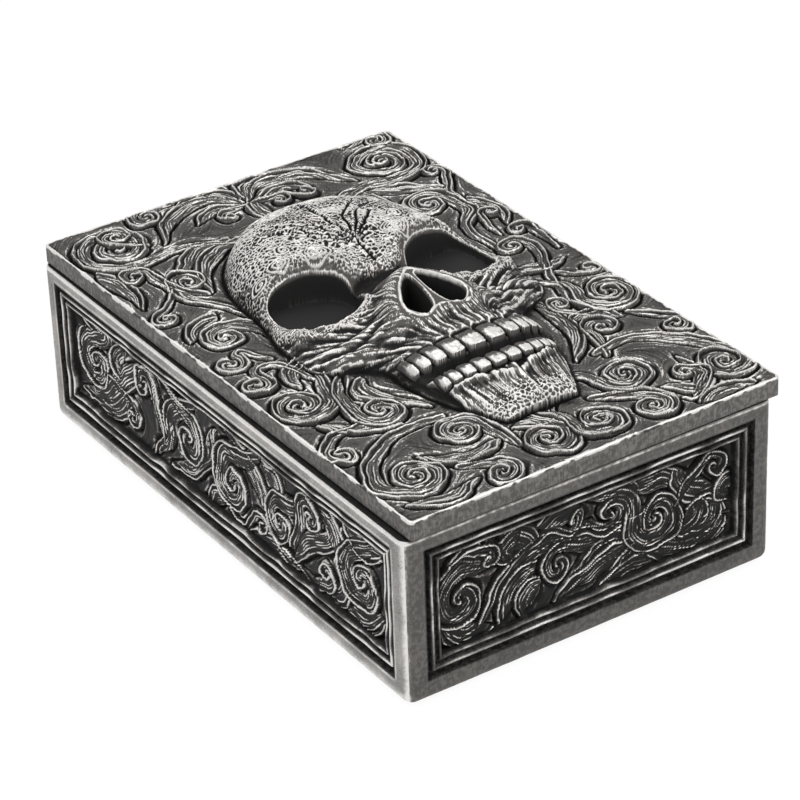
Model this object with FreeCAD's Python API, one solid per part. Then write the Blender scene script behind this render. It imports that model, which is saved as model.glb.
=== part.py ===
import FreeCAD, Part
import math
import os
from FreeCAD import Vector

# Storage box cast in two pieces: a walled body with a framed recess on each side,
# and a loose lid with a skull in high relief. Felt covers the base and lines the floor.
# Millimetres. Origin at the centre of the underside of the base felt, +Z up.
# X runs along the short side and Y along the long side, with the chin towards -Y.

# Driving dimensions of the body
body_length = 178.0
body_width = 114.0
body_height = 48.2
body_corner_radius = 3.0
body_base_radius = 2.5
body_rim_chamfer = 0.6
wall_thickness = 6.5
floor_thickness = 5.0
cavity_corner_radius = 3.0
cavity_floor_bevel = 1.5

# Framed recess on each side of the body
stile_width = 6.0
top_rail_height = 4.0
bottom_rail_height = 6.0
outer_groove_width = 1.5
outer_bead_width = 1.5
inner_groove_width = 0.9
inner_bead_width = 1.1
groove_depth = 1.8
field_depth = 2.8
outer_bead_drop = 0.5
inner_bead_drop = 0.9
bead_bevel = 0.4

# Felt
base_felt_thickness = 0.8
base_felt_inset = 6.0
base_felt_corner_radius = 5.0
lining_thickness = 1.0
lining_clearance = 0.5

# Lid plate and the rim underneath that keeps it on the body
lid_overhang = 0.2
lid_thickness = 6.0
lid_corner_radius = 1.5
lid_top_chamfer = 0.5
lid_under_bevel = 0.8
locating_rim_depth = 4.0
locating_rim_width = 5.0
locating_rim_chamfer = 0.8
lid_play = 2.5

# The lid lies loose, pushed to +X and a little askew within its play
lid_shift_share = 0.64
lid_skew_share = 0.22

# Skull, centred on the lid across X
skull_length = 122.0
skull_width = 76.0
skull_height = 12.5
skull_offset = -4.0
skull_root = 1.5
skull_edge_sink = 0.4
skull_stations = 33
skull_points_across = 21
opening_facets = 28
nose_rim_lift = 0.6
mouth_gap = 2.6
mouth_floor = 2.0
tooth_stand = 0.8
tooth_depth = 5.0
tooth_spacing = 0.5
tooth_bevel = 0.8

# Skull from crown to chin: place along the half length, half width, height and roundness
section_shares = [
    (1.00, 0.16, 0.10, 0.0),
    (0.97, 0.34, 0.44, 0.0),
    (0.92, 0.49, 0.66, 0.0),
    (0.83, 0.65, 0.83, 0.0),
    (0.70, 0.78, 0.93, 0.0),
    (0.54, 0.86, 0.98, 0.0),
    (0.40, 0.88, 0.96, 0.0),
    (0.30, 0.89, 0.87, 0.1),
    (0.20, 0.92, 0.66, 0.2),
    (0.10, 0.96, 0.50, 0.2),
    (0.00, 0.98, 0.45, 0.2),
    (-0.10, 0.98, 0.44, 0.2),
    (-0.18, 0.96, 0.46, 0.3),
    (-0.25, 0.86, 0.50, 0.5),
    (-0.32, 0.64, 0.58, 0.8),
    (-0.39, 0.57, 0.66, 1.0),
    (-0.48, 0.57, 0.70, 0.9),
    (-0.58, 0.55, 0.66, 0.7),
    (-0.68, 0.51, 0.58, 0.6),
    (-0.78, 0.46, 0.48, 0.4),
    (-0.88, 0.39, 0.39, 0.3),
    (-0.97, 0.32, 0.29, 0.3),
    (-1.00, 0.29, 0.12, 0.3),
]

# How the height falls from the middle to the side of a flat and of a round section:
# shares of the second, fourth and eighth power of the place across
flat_fall_shares = (0.25, 0.25, 0.50)
round_fall_shares = (0.60, 0.30, 0.10)

# Ridges and hollows on the right half: lift as a share of the height, spread as a share
# of the half width, and the path in shares of the half width and half length
ridge_shares = {
    "brow": (0.13, 0.085, [(0.08, 0.20), (0.20, 0.27), (0.34, 0.355), (0.60, 0.395), (0.82, 0.365),
                           (0.91, 0.26)]),
    "cheekbone": (0.34, 0.060, [(0.91, 0.26), (0.93, 0.10), (0.87, -0.01)]),
    "lower socket rim": (0.10, 0.055, [(0.87, -0.01), (0.62, -0.06), (0.40, -0.05), (0.27, 0.02)]),
    "notch between the brows": (-0.30, 0.060, [(0.00, 0.155), (0.10, 0.165), (0.22, 0.185)]),
    "gum": (0.06, 0.080, [(0.00, -0.44), (0.30, -0.43), (0.46, -0.38)]),
    "jaw line": (0.08, 0.045, [(0.05, -0.825), (0.24, -0.778), (0.40, -0.735), (0.47, -0.69)]),
}

# Outlines on the right half of the skull, as shares of its half width and half length
socket_shares = [
    (0.24, 0.115), (0.235, 0.19), (0.29, 0.27), (0.43, 0.335), (0.62, 0.36), (0.78, 0.345),
    (0.85, 0.255), (0.855, 0.12), (0.79, 0.02), (0.61, -0.02), (0.40, -0.01), (0.28, 0.05),
]
nostril_shares = [
    (0.05, -0.055), (0.12, -0.095), (0.20, -0.175), (0.227, -0.24), (0.15, -0.29), (0.065, -0.26),
    (0.03, -0.155),
]
nose_shares = [
    (0.00, -0.005), (0.06, -0.035), (0.15, -0.09), (0.225, -0.165), (0.266, -0.235),
    (0.25, -0.28), (0.17, -0.322), (0.06, -0.292), (0.00, -0.28),
]
nose_top_height_share = 1.08
nose_base_height_share = 0.80
nose_spread_share = 0.16
nostril_floor_share = 0.30

# Rows of teeth: half width and height of the arch, the row's two ends along the half length,
# and the angles on the arch, from its middle outwards, at which one tooth ends and the next begins
upper_row_shares = (0.56, 0.73, -0.49, -0.626)
lower_row_shares = (0.51, 0.62, -0.672, -0.77)
upper_tooth_angles = [0.0, 17.0, 32.0, 46.0, 60.0, 74.0]
lower_tooth_angles = [0.0, 14.0, 27.0, 40.0, 53.0, 66.0]

# The rows and the gap between them bend up towards the cheeks by this share at the arch's ends
arch_bend_share = 0.085
tooth_reach_share = 0.06
gap_steps = 5

# Scrollwork: each main scroll is a rib that coils inwards, steep on its outer side
lid_scroll_rise = 1.3
lid_scroll_band = 6.0
panel_scroll_rise = 1.8
panel_scroll_band = 8.0
scroll_root = 0.5
scroll_margin = 1.0
scroll_band_share = 0.52
scroll_crest_share = 0.70
scroll_end_share = 0.10
scroll_turns = 1.2
scroll_steps = 10

# Scrolls of the lid: place in shares of its half width and half length, radius as a share
# of the half width, hand of the coil, and where its stem begins
lid_scroll_shares = [
    (-0.75, 0.84, 0.215, -1, (-0.52, 0.72)),
    (0.77, 0.82, 0.205, 1, (0.56, 0.70)),
    (-0.47, 0.95, 0.085, 1, (-0.30, 0.99)),
    (0.88, 0.955, 0.080, -1, (0.70, 0.985)),
    (-0.64, 0.52, 0.080, -1, (-0.72, 0.42)),
    (-0.82, 0.64, 0.075, 1, (-0.72, 0.52)),
    (0.70, 0.49, 0.105, 1, (0.84, 0.38)),
    (0.76, 0.10, 0.072, 1, (0.85, 0.02)),
    (-0.77, 0.16, 0.105, 1, (-0.60, 0.16)),
    (-0.90, 0.02, 0.070, -1, (-0.80, 0.06)),
    (-0.92, -0.13, 0.075, -1, (-0.84, -0.06)),
    (-0.84, -0.30, 0.135, -1, (-0.66, -0.24)),
    (-0.57, -0.46, 0.110, 1, (-0.66, -0.32)),
    (0.86, -0.30, 0.145, 1, (0.74, -0.18)),
    (0.66, -0.46, 0.090, -1, (0.56, -0.50)),
    (0.93, -0.58, 0.075, -1, (0.90, -0.48)),
    (-0.93, -0.60, 0.070, 1, (-0.86, -0.50)),
    (-0.77, -0.81, 0.125, 1, (-0.95, -0.80)),
    (-0.39, -0.69, 0.105, 1, (-0.26, -0.74)),
    (-0.45, -0.94, 0.085, -1, (-0.58, -0.84)),
    (-0.14, -0.87, 0.130, -1, (-0.10, -0.72)),
    (0.14, -0.88, 0.110, 1, (0.02, -0.80)),
    (0.40, -0.91, 0.095, -1, (0.34, -0.80)),
    (0.46, -0.72, 0.110, 1, (0.32, -0.66)),
    (0.88, -0.83, 0.140, -1, (0.88, -0.66)),
    (0.68, -0.82, 0.080, 1, (0.60, -0.94)),
]

# Scrolls of a short and a long panel, likewise, with the radius as a share of the half height
short_panel_scroll_shares = [
    (-0.85, -0.06, 0.64, 1, (-0.62, 0.56)),
    (-0.20, -0.20, 0.36, 1, (0.00, 0.06)),
    (0.15, 0.50, 0.34, 1, (0.00, 0.32)),
    (0.47, -0.04, 0.54, 1, (0.28, 0.56)),
    (0.86, 0.58, 0.28, -1, (0.68, 0.40)),
]
long_panel_scroll_shares = [
    (-0.84, 0.08, 0.60, 1, (-0.80, 0.86)),
    (-0.61, -0.52, 0.30, -1, (-0.68, -0.10)),
    (-0.52, 0.42, 0.36, 1, (-0.42, -0.04)),
    (-0.22, 0.00, 0.44, -1, (-0.31, 0.62)),
    (0.06, -0.16, 0.56, 1, (0.15, 0.60)),
    (0.36, -0.18, 0.46, 1, (0.45, 0.38)),
    (0.55, 0.46, 0.40, -1, (0.47, 0.04)),
    (0.85, -0.06, 0.62, 1, (0.89, 0.82)),
]

# Cuts run this far past the faces that they open
cut_overrun = 2.0

# Levels and sizes that follow
body_base = base_felt_thickness
body_top = body_base + body_height
cavity_width = body_width - 2 * wall_thickness
cavity_length = body_length - 2 * wall_thickness
cavity_floor = body_base + floor_thickness
lid_length = body_length + 2 * lid_overhang
lid_width = body_width + 2 * lid_overhang
lid_top = body_top + lid_thickness
moulding_rows = [
    (outer_groove_width, outer_bead_width, outer_bead_drop),
    (inner_groove_width, inner_bead_width, inner_bead_drop),
]
rim_outer_width = cavity_width - 2 * lid_play
rim_outer_length = cavity_length - 2 * lid_play
lid_shift = lid_play * lid_shift_share
lid_skew = math.degrees(math.atan2(lid_play * lid_skew_share, rim_outer_length / 2))
half_skull_length = skull_length / 2
half_skull_width = skull_width / 2


def centred_box(width, length, height, base):
    """Box centred on the Z axis, standing on base."""
    return Part.makeBox(width, length, height, Vector(-width / 2, -length / 2, base))


def edges_at_level(solid, level):
    """Edges that lie flat at one height."""
    flat = []
    for edge in solid.Edges:
        box = edge.BoundBox
        if max(abs(box.ZMin - level), abs(box.ZMax - level)) < Part.Precision.approximation():
            flat.append(edge)
    return flat


def upright_edges(solid):
    """Straight edges that run along Z."""
    upright = []
    for edge in solid.Edges:
        box = edge.BoundBox
        if max(box.XLength, box.YLength) < Part.Precision.approximation():
            upright.append(edge)
    return upright


def rounded_block(width, length, height, base, radius):
    """Centred block with rounded upright corners."""
    block = centred_box(width, length, height, base)
    return block.makeFillet(radius, upright_edges(block))


def side_box(width, height, low, outer_face, depth_from, depth_to):
    """Box set into the -Y side, between two depths behind its face."""
    corner = Vector(-width / 2, -outer_face + depth_from, low)
    return Part.makeBox(width, depth_to - depth_from, height, corner)


def bead_frame(width, height, low, outer_face, band, drop):
    """Bevelled moulding that stands in the recess, its crest a little behind the face."""
    outer = side_box(width, height, low, outer_face, drop, groove_depth)
    inner = side_box(width - 2 * band, height - 2 * band, low + band, outer_face, drop, field_depth)
    frame = outer.cut(inner)
    crest = -outer_face + drop
    front_edges = []
    for edge in frame.Edges:
        box = edge.BoundBox
        if max(abs(box.YMin - crest), abs(box.YMax - crest)) < Part.Precision.approximation():
            front_edges.append(edge)
    return frame.makeChamfer(bead_bevel, front_edges)


def scroll_section(place, outward, half_band, rise):
    """Corners across a rib, its crest towards the outer side and its root below the ground."""
    root = Vector(0, 0, -scroll_root)
    return [
        place + outward * half_band + root,
        place + outward * (half_band * scroll_crest_share) + Vector(0, 0, rise),
        place - outward * half_band + root,
    ]


def faceted_solid(sections):
    """Solid with flat facets between three-cornered sections."""
    facets = [sections[0], sections[-1]]
    for near, far in zip(sections, sections[1:]):
        for corner in range(3):
            beside = (corner + 1) % 3
            facets.append([near[corner], near[beside], far[beside]])
            facets.append([near[corner], far[beside], far[corner]])
    faces = [Part.Face(Part.makePolygon(corners + corners[:1])) for corners in facets]
    return Part.Solid(Part.Shell(faces))


def make_scroll(centre, radius, hand, stem, band, rise):
    """Rib on the XY plane that runs in from its stem and coils round a centre."""
    half_band = min(band / 2, scroll_band_share * radius)
    offset = stem - centre
    start = math.atan2(offset.y, offset.x) + hand * math.acos(min(radius / offset.Length, 1))
    sections = []
    for step in range(scroll_steps + 1):
        part = step / scroll_steps
        turn = start + hand * 2 * math.pi * scroll_turns * part
        outward = Vector(math.cos(turn), math.sin(turn), 0)
        fall = 1 - (1 - scroll_end_share) * part
        place = centre + outward * (radius * fall)
        if not sections:
            travel = (place - stem).normalize()
            stem_side = Vector(travel.y, -travel.x, 0) * hand
            sections.append(scroll_section(stem, stem_side, half_band * scroll_end_share, 0))
        sections.append(scroll_section(place, outward, half_band * fall, rise))
    return faceted_solid(sections)


def make_scrolls(shares, half_width, half_length, radius_unit, band, rise):
    """Ribs of one field on the XY plane, cut off at a margin inside its edges."""
    depth = scroll_root + cut_overrun
    clear_width = 2 * (half_width - scroll_margin)
    clear_length = 2 * (half_length - scroll_margin)
    field = centred_box(clear_width, clear_length, depth + rise + cut_overrun, -depth)
    ribs = []
    for x_share, y_share, radius_share, hand, (stem_x_share, stem_y_share) in shares:
        centre = Vector(x_share * half_width, y_share * half_length, 0)
        stem = Vector(stem_x_share * half_width, stem_y_share * half_length, 0)
        rib = make_scroll(centre, radius_share * radius_unit, hand, stem, band, rise)
        ribs.append(rib.common(field))
    return ribs


def recess_tools(face_width, outer_face, scroll_shares):
    """Pockets to cut, beads and scrolls to add for the recess on one side, made on the -Y side."""
    width = face_width - 2 * stile_width
    height = body_height - top_rail_height - bottom_rail_height
    low = body_base + bottom_rail_height
    pocket = side_box(width, height, low, outer_face, -cut_overrun, groove_depth)
    step = 0
    beads = []
    for gap, band, drop in moulding_rows:
        step += gap
        beads.append(bead_frame(width - 2 * step, height - 2 * step, low + step, outer_face, band, drop))
        step += band
    field = side_box(width - 2 * step, height - 2 * step, low + step, outer_face, -cut_overrun, field_depth)
    half_width = width / 2 - step
    half_height = height / 2 - step
    scrolls = make_scrolls(
        scroll_shares, half_width, half_height, half_height, panel_scroll_band, panel_scroll_rise
    )
    for scroll in scrolls:
        scroll.rotate(Vector(0, 0, 0), Vector(1, 0, 0), 90)
        scroll.translate(Vector(0, field_depth - outer_face, low + height / 2))
    return [pocket, field], beads, scrolls


def turned(shape, angle):
    """Copy turned about the Z axis."""
    copy = shape.copy()
    copy.rotate(Vector(0, 0, 0), Vector(0, 0, 1), angle)
    return copy


def mirrored(shape):
    """Copy on the other side of the YZ plane."""
    return shape.mirror(Vector(0, 0, 0), Vector(1, 0, 0))


def make_box_body():
    """Cast tray: floor, four walls and a framed recess on each side."""
    shell = rounded_block(body_width, body_length, body_height, body_base, body_corner_radius)
    shell = shell.makeFillet(body_base_radius, edges_at_level(shell, body_base))
    shell = shell.makeChamfer(body_rim_chamfer, edges_at_level(shell, body_top))
    cavity_depth = body_height - floor_thickness + cut_overrun
    cavity = rounded_block(cavity_width, cavity_length, cavity_depth, cavity_floor, cavity_corner_radius)
    cavity = cavity.makeChamfer(cavity_floor_bevel, edges_at_level(cavity, cavity_floor))
    pockets = [cavity]
    beads = []
    scrolls = []
    sides = [
        (0, body_width, body_length / 2, short_panel_scroll_shares),
        (-90, body_length, body_width / 2, long_panel_scroll_shares),
    ]
    for angle, face_width, outer_face, shares in sides:
        cuts, frames, ribs = recess_tools(face_width, outer_face, shares)
        for half_turn in (0, 180):
            pockets += [turned(cut, angle + half_turn) for cut in cuts]
            beads += [turned(frame, angle + half_turn) for frame in frames]
        scrolls += [turned(rib, angle) for rib in ribs]
        scrolls += [turned(mirrored(rib), angle + 180) for rib in ribs]
    return shell.cut(pockets).fuse(beads).removeSplitter().fuse(scrolls)


def make_base_felt():
    """Felt sheet under the body, which the box stands on."""
    return rounded_block(
        body_width - 2 * base_felt_inset,
        body_length - 2 * base_felt_inset,
        base_felt_thickness,
        0,
        base_felt_corner_radius,
    )


def make_floor_lining():
    """Felt sheet on the floor of the body, inside the bevelled foot of the walls."""
    inset = cavity_floor_bevel + lining_clearance
    return rounded_block(
        cavity_width - 2 * inset,
        cavity_length - 2 * inset,
        lining_thickness,
        cavity_floor,
        cavity_corner_radius,
    )


def skull_point(x_share, y_share, height_share):
    """Point on the lid, from shares of the half skull."""
    return Vector(
        x_share * half_skull_width,
        skull_offset + y_share * half_skull_length,
        lid_top + height_share * skull_height,
    )


def section_value(place, column):
    """Value from the section table at a place along the skull, by cubic spans."""
    index = 0
    while index < len(section_shares) - 2 and section_shares[index + 1][0] > place:
        index += 1
    before = section_shares[max(index - 1, 0)]
    first = section_shares[index]
    last = section_shares[index + 1]
    after = section_shares[min(index + 2, len(section_shares) - 1)]
    span = last[0] - first[0]
    first_slope = (last[column] - before[column]) / (last[0] - before[0]) * span
    last_slope = (after[column] - first[column]) / (after[0] - first[0]) * span
    t = (place - first[0]) / span
    value = (2 * t**3 - 3 * t**2 + 1) * first[column] + (t**3 - 2 * t**2 + t) * first_slope
    return value + (3 * t**2 - 2 * t**3) * last[column] + (t**3 - t**2) * last_slope


def distance_to_path(x, y, path):
    """Least distance in plan from a place to a run of straight spans."""
    nearest = math.inf
    for start, end in zip(path, path[1:]):
        span_x = end.x - start.x
        span_y = end.y - start.y
        along = ((x - start.x) * span_x + (y - start.y) * span_y) / (span_x**2 + span_y**2)
        along = min(max(along, 0), 1)
        nearest = min(nearest, math.hypot(x - start.x - along * span_x, y - start.y - along * span_y))
    return nearest


def nose_slope(x, y):
    """1 within the nose's outline in plan, falling to 0 away from it."""
    right = [skull_point(*share, 0) for share in nose_shares]
    outline = right + [Vector(-place.x, place.y, place.z) for place in right[-2::-1]]
    inside = False
    for start, end in zip(outline, outline[1:]):
        if (start.y > y) != (end.y > y):
            inside ^= x < start.x + (end.x - start.x) * (y - start.y) / (end.y - start.y)
    if inside:
        return 1
    return math.exp(-((distance_to_path(x, y, outline) / (nose_spread_share * half_skull_width)) ** 2))


def nose_height_share(place):
    """Height of the nose's sloping face at a place along the skull."""
    top_share = nose_shares[0][1]
    base_share = min(y_share for x_share, y_share in nose_shares)
    part = min(max((place - base_share) / (top_share - base_share), 0), 1)
    return nose_base_height_share + part * (nose_top_height_share - nose_base_height_share)


def skull_surface_point(across, place):
    """Point on the skull's skin, from -1 to 1 across a section at a place along its length."""
    x_share = across * section_value(place, 1)
    side = skull_point(abs(x_share), place, 0)
    roundness = section_value(place, 3)
    fall = 0
    for power, flat, rounded in zip((2, 4, 8), flat_fall_shares, round_fall_shares):
        fall += (flat + (rounded - flat) * roundness) * across**power
    height_share = section_value(place, 2) * (1 - fall)
    for lift, spread, path in ridge_shares.values():
        path_points = [skull_point(*share, 0) for share in path]
        distance = distance_to_path(side.x, side.y, path_points) / (spread * half_skull_width)
        height_share += lift * (1 - across**8) * math.exp(-(distance**2))
    height_share += max(nose_height_share(place) - height_share, 0) * nose_slope(side.x, side.y)
    sink = Vector(0, 0, skull_edge_sink * across**8)
    return skull_point(x_share, place, height_share) - sink


def skull_section(place):
    """Closed section across the skull, with its root sunk into the lid plate."""
    points = []
    for step in range(skull_points_across):
        turn = math.pi * (step / (skull_points_across - 1) - 1 / 2)
        points.append(skull_surface_point(math.sin(turn), place))
    skin = Part.BSplineCurve()
    skin.interpolate(points)
    root = Vector(0, 0, -skull_root)
    corners = [points[-1], points[-1] + root, points[0] + root, points[0]]
    sides = [Part.LineSegment(start, end).toShape() for start, end in zip(corners, corners[1:])]
    return Part.Wire([skin.toShape()] + sides)


def column_over(places, rise):
    """Upright column with flat facets over a closed smooth outline."""
    curve = Part.BSplineCurve()
    curve.interpolate(places, PeriodicFlag=True)
    outline = Part.makePolygon(curve.toShape().discretize(opening_facets + 1))
    return Part.Face(outline).extrude(Vector(0, 0, rise))


def make_nose_rim(rise):
    """Raised rim of the nose opening: a column whose top slopes down towards the teeth."""
    right = [skull_point(*share, 0) for share in nose_shares]
    left = [Vector(-place.x, place.y, place.z) for place in right[-2:0:-1]]
    column = column_over(right + left, rise)
    top_share = nose_shares[0][1]
    base_share = min(y_share for x_share, y_share in nose_shares)
    beyond = Vector(-half_skull_width, cut_overrun, 0)
    before = Vector(-half_skull_width, -cut_overrun, 0)
    lift = Vector(0, 0, nose_rim_lift)
    profile = [
        skull_point(0, top_share, 0) + beyond,
        skull_point(0, top_share, nose_top_height_share) + beyond + lift,
        skull_point(0, base_share, nose_base_height_share) + before + lift,
        skull_point(0, base_share, 0) + before,
    ]
    wedge = Part.Face(Part.makePolygon(profile + profile[:1])).extrude(Vector(skull_width, 0, 0))
    return column.common(wedge)


def arch_bend(x):
    """How far the rows of teeth bend towards the cheeks at a distance from the middle."""
    return arch_bend_share * half_skull_length * (x / (upper_row_shares[0] * half_skull_width)) ** 2


def make_mouth_gap(rise):
    """Bent band between the two rows of teeth."""
    gap_share = (upper_row_shares[-1] + lower_row_shares[-2]) / 2
    reach = upper_row_shares[0] + tooth_reach_share
    edges = []
    for offset in (-mouth_gap / 2, mouth_gap / 2):
        places = []
        for step in range(-gap_steps, gap_steps + 1):
            place = skull_point(reach * step / gap_steps, gap_share, 0)
            places.append(place + Vector(0, arch_bend(place.x) + offset, mouth_floor))
        edges.append(places)
    outline = edges[0] + edges[1][::-1]
    return Part.Face(Part.makePolygon(outline + outline[:1])).extrude(Vector(0, 0, rise))


def make_teeth(row_shares, angles):
    """One row of teeth on the arch of a jaw, each turned to face outwards."""
    arch_share, height_share, end_share, start_share = row_shares
    half_width = arch_share * half_skull_width
    rise = height_share * skull_height
    row_start = skull_point(0, start_share, 0).y
    row_length = skull_point(0, end_share, 0).y - row_start
    teeth = []
    for first, last in zip(angles, angles[1:]):
        corners = []
        for angle in (first, last):
            turn = math.radians(angle)
            corners.append(Vector(half_width * math.sin(turn), 0, rise * math.cos(turn)))
        across = corners[1] - corners[0]
        middle = (corners[0] + corners[1]) / 2
        bend = arch_bend(middle.x)
        width = across.Length - tooth_spacing
        corner = Vector(-width / 2, row_start, tooth_stand - tooth_depth)
        tooth = Part.makeBox(width, row_length, tooth_depth, corner)
        front_edges = [edge for edge in tooth.Edges if edge.BoundBox.ZMin > 0]
        tooth = tooth.makeChamfer(tooth_bevel, front_edges)
        lean = math.degrees(math.atan2(-across.z, across.x))
        tooth.rotate(Vector(0, 0, 0), Vector(0, 1, 0), lean)
        tooth.translate(Vector(middle.x, bend, lid_top + middle.z))
        teeth += [tooth, mirrored(tooth)]
    return teeth


def make_skull():
    """Skull in high relief, standing on its root inside the lid plate."""
    sections = []
    for station in range(skull_stations):
        part = station / (skull_stations - 1)
        place = (1 - 2 * part + math.cos(math.pi * part)) / 2
        sections.append(skull_section(place))
    skull = Part.makeLoft(sections, True, True)
    rise = 2 * skull_height
    skull = skull.fuse(make_nose_rim(rise))
    cuts = [make_mouth_gap(rise)]
    for shares, floor_share in ((socket_shares, 0), (nostril_shares, nostril_floor_share)):
        hole = column_over([skull_point(*share, floor_share) for share in shares], rise)
        cuts += [hole, mirrored(hole)]
    skull = skull.cut(cuts)
    teeth = make_teeth(upper_row_shares, upper_tooth_angles)
    teeth += make_teeth(lower_row_shares, lower_tooth_angles)
    return skull.fuse(teeth)


def make_lid():
    """Lid plate with its locating rim underneath and the skull on top, as it lies on the body."""
    plate = rounded_block(lid_width, lid_length, lid_thickness, body_top, lid_corner_radius)
    plate = plate.makeChamfer(lid_under_bevel, edges_at_level(plate, body_top))
    plate = plate.makeChamfer(lid_top_chamfer, edges_at_level(plate, lid_top))
    rim_base = body_top - locating_rim_depth
    rim = centred_box(rim_outer_width, rim_outer_length, locating_rim_depth, rim_base)
    rim = rim.makeChamfer(locating_rim_chamfer, edges_at_level(rim, rim_base))
    hollow = centred_box(
        rim_outer_width - 2 * locating_rim_width,
        rim_outer_length - 2 * locating_rim_width,
        locating_rim_depth + cut_overrun,
        rim_base - cut_overrun,
    )
    rim = rim.cut(hollow)
    scrolls = make_scrolls(
        lid_scroll_shares, lid_width / 2, lid_length / 2, lid_width / 2, lid_scroll_band, lid_scroll_rise
    )
    for scroll in scrolls:
        scroll.translate(Vector(0, 0, lid_top))
    lid = plate.fuse([rim, make_skull()]).removeSplitter().fuse(scrolls)
    lid.rotate(Vector(0, 0, 0), Vector(0, 0, 1), lid_skew)
    lid.translate(Vector(lid_shift, 0, 0))
    return lid


os.makedirs("parts", exist_ok=True)
pieces = {
    "box_body": make_box_body(),
    "base_felt": make_base_felt(),
    "floor_lining": make_floor_lining(),
    "lid": make_lid(),
}
for name, shape in pieces.items():
    shape.exportStep("parts/" + name + ".step")
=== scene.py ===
import itertools
import math

import bpy
import numpy as np
from mathutils import Matrix, Vector


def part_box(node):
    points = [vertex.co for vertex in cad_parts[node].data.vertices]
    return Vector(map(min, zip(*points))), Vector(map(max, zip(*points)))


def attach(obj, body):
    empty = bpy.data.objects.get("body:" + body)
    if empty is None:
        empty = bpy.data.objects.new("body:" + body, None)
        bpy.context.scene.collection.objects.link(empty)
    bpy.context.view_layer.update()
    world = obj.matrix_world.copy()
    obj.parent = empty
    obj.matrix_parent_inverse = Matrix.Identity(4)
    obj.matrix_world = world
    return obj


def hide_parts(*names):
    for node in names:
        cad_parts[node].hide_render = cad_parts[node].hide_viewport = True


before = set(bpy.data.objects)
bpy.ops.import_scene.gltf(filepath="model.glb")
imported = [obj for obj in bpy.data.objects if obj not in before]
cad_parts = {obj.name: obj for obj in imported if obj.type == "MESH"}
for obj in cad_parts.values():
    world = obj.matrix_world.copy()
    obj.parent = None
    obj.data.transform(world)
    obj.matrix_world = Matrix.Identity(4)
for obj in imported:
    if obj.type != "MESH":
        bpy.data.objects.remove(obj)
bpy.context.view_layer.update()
BODY_LOW, BODY_HIGH = (Vector(corner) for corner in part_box("box_body"))
LID_LOW, LID_HIGH = (Vector(corner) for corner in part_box("lid"))
LINING_LOW, LINING_HIGH = (Vector(corner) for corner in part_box("floor_lining"))
BASE_LOW, BASE_HIGH = (Vector(corner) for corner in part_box("base_felt"))

bl_info = {
    "name": "Skull Keepsake Box",
    "version": (1, 0, 0),
    "blender": (4, 5, 0),
    "location": "3D View > Sidebar > Keepsake Box",
    "description": "Carves and paints a cast keepsake box with a skull on its lid",
    "category": "Add Mesh",
}

# Skull from crown to chin: place along the half length, half width, height and roundness
SECTION_SHARES = [
    (1.00, 0.16, 0.10, 0.0), (0.97, 0.34, 0.44, 0.0), (0.92, 0.49, 0.66, 0.0), (0.83, 0.65, 0.83, 0.0),
    (0.70, 0.78, 0.93, 0.0), (0.54, 0.86, 0.98, 0.0), (0.40, 0.88, 0.96, 0.0), (0.30, 0.89, 0.87, 0.1),
    (0.20, 0.92, 0.66, 0.2), (0.10, 0.96, 0.50, 0.2), (0.00, 0.98, 0.45, 0.2), (-0.10, 0.98, 0.44, 0.2),
    (-0.18, 0.96, 0.46, 0.3), (-0.25, 0.86, 0.50, 0.5), (-0.32, 0.64, 0.58, 0.8), (-0.39, 0.57, 0.66, 1.0),
    (-0.48, 0.57, 0.70, 0.9), (-0.58, 0.55, 0.66, 0.7), (-0.68, 0.51, 0.58, 0.6), (-0.78, 0.46, 0.48, 0.4),
    (-0.88, 0.39, 0.39, 0.3), (-0.97, 0.32, 0.29, 0.3), (-1.00, 0.29, 0.12, 0.3),
]
FLAT_FALL = {2: 0.25, 4: 0.25, 8: 0.50}
ROUND_FALL = {2: 0.60, 4: 0.30, 8: 0.10}

# Ridges and hollows on one half of the skull: lift in heights, spread in half widths,
# and the path in half widths and half lengths
RIDGE_SHARES = [
    (0.13, 0.085, [(0.08, 0.20), (0.20, 0.270), (0.34, 0.355), (0.60, 0.395), (0.82, 0.365), (0.91, 0.26)]),
    (0.34, 0.060, [(0.91, 0.26), (0.93, 0.10), (0.87, -0.01)]),
    (0.10, 0.055, [(0.87, -0.01), (0.62, -0.06), (0.40, -0.05), (0.27, 0.02)]),
    (0.06, 0.080, [(0.00, -0.44), (0.30, -0.43), (0.46, -0.38)]),
]
FOLD_SHARES = [
    (-0.30, 0.060, [(0.00, 0.155), (0.10, 0.165), (0.22, 0.175), (0.30, 0.18)]),
    (-0.12, 0.050, [(0.15, 0.13), (0.20, 0.10), (0.20, 0.05)]),
    (-0.05, 0.026, [(0.40, -0.120), (0.66, -0.150), (0.92, -0.110)]),
    (0.05, 0.030, [(0.34, -0.155), (0.60, -0.185), (0.93, -0.150)]),
    (-0.07, 0.026, [(0.42, -0.190), (0.64, -0.218), (0.90, -0.185)]),
    (0.05, 0.026, [(0.40, -0.225), (0.58, -0.245), (0.80, -0.225)]),
    (-0.08, 0.050, [(0.22, -0.310), (0.32, -0.335)]),
    (0.11, 0.026, [(0.05, -0.825), (0.12, -0.800), (0.24, -0.778), (0.40, -0.735), (0.47, -0.690)]),
    (0.07, 0.028, [(0.00, -0.80), (0.01, -0.90), (0.00, -0.97)]),
    (-0.08, 0.070, [(0.16, -0.86), (0.24, -0.93)]),
]

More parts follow.
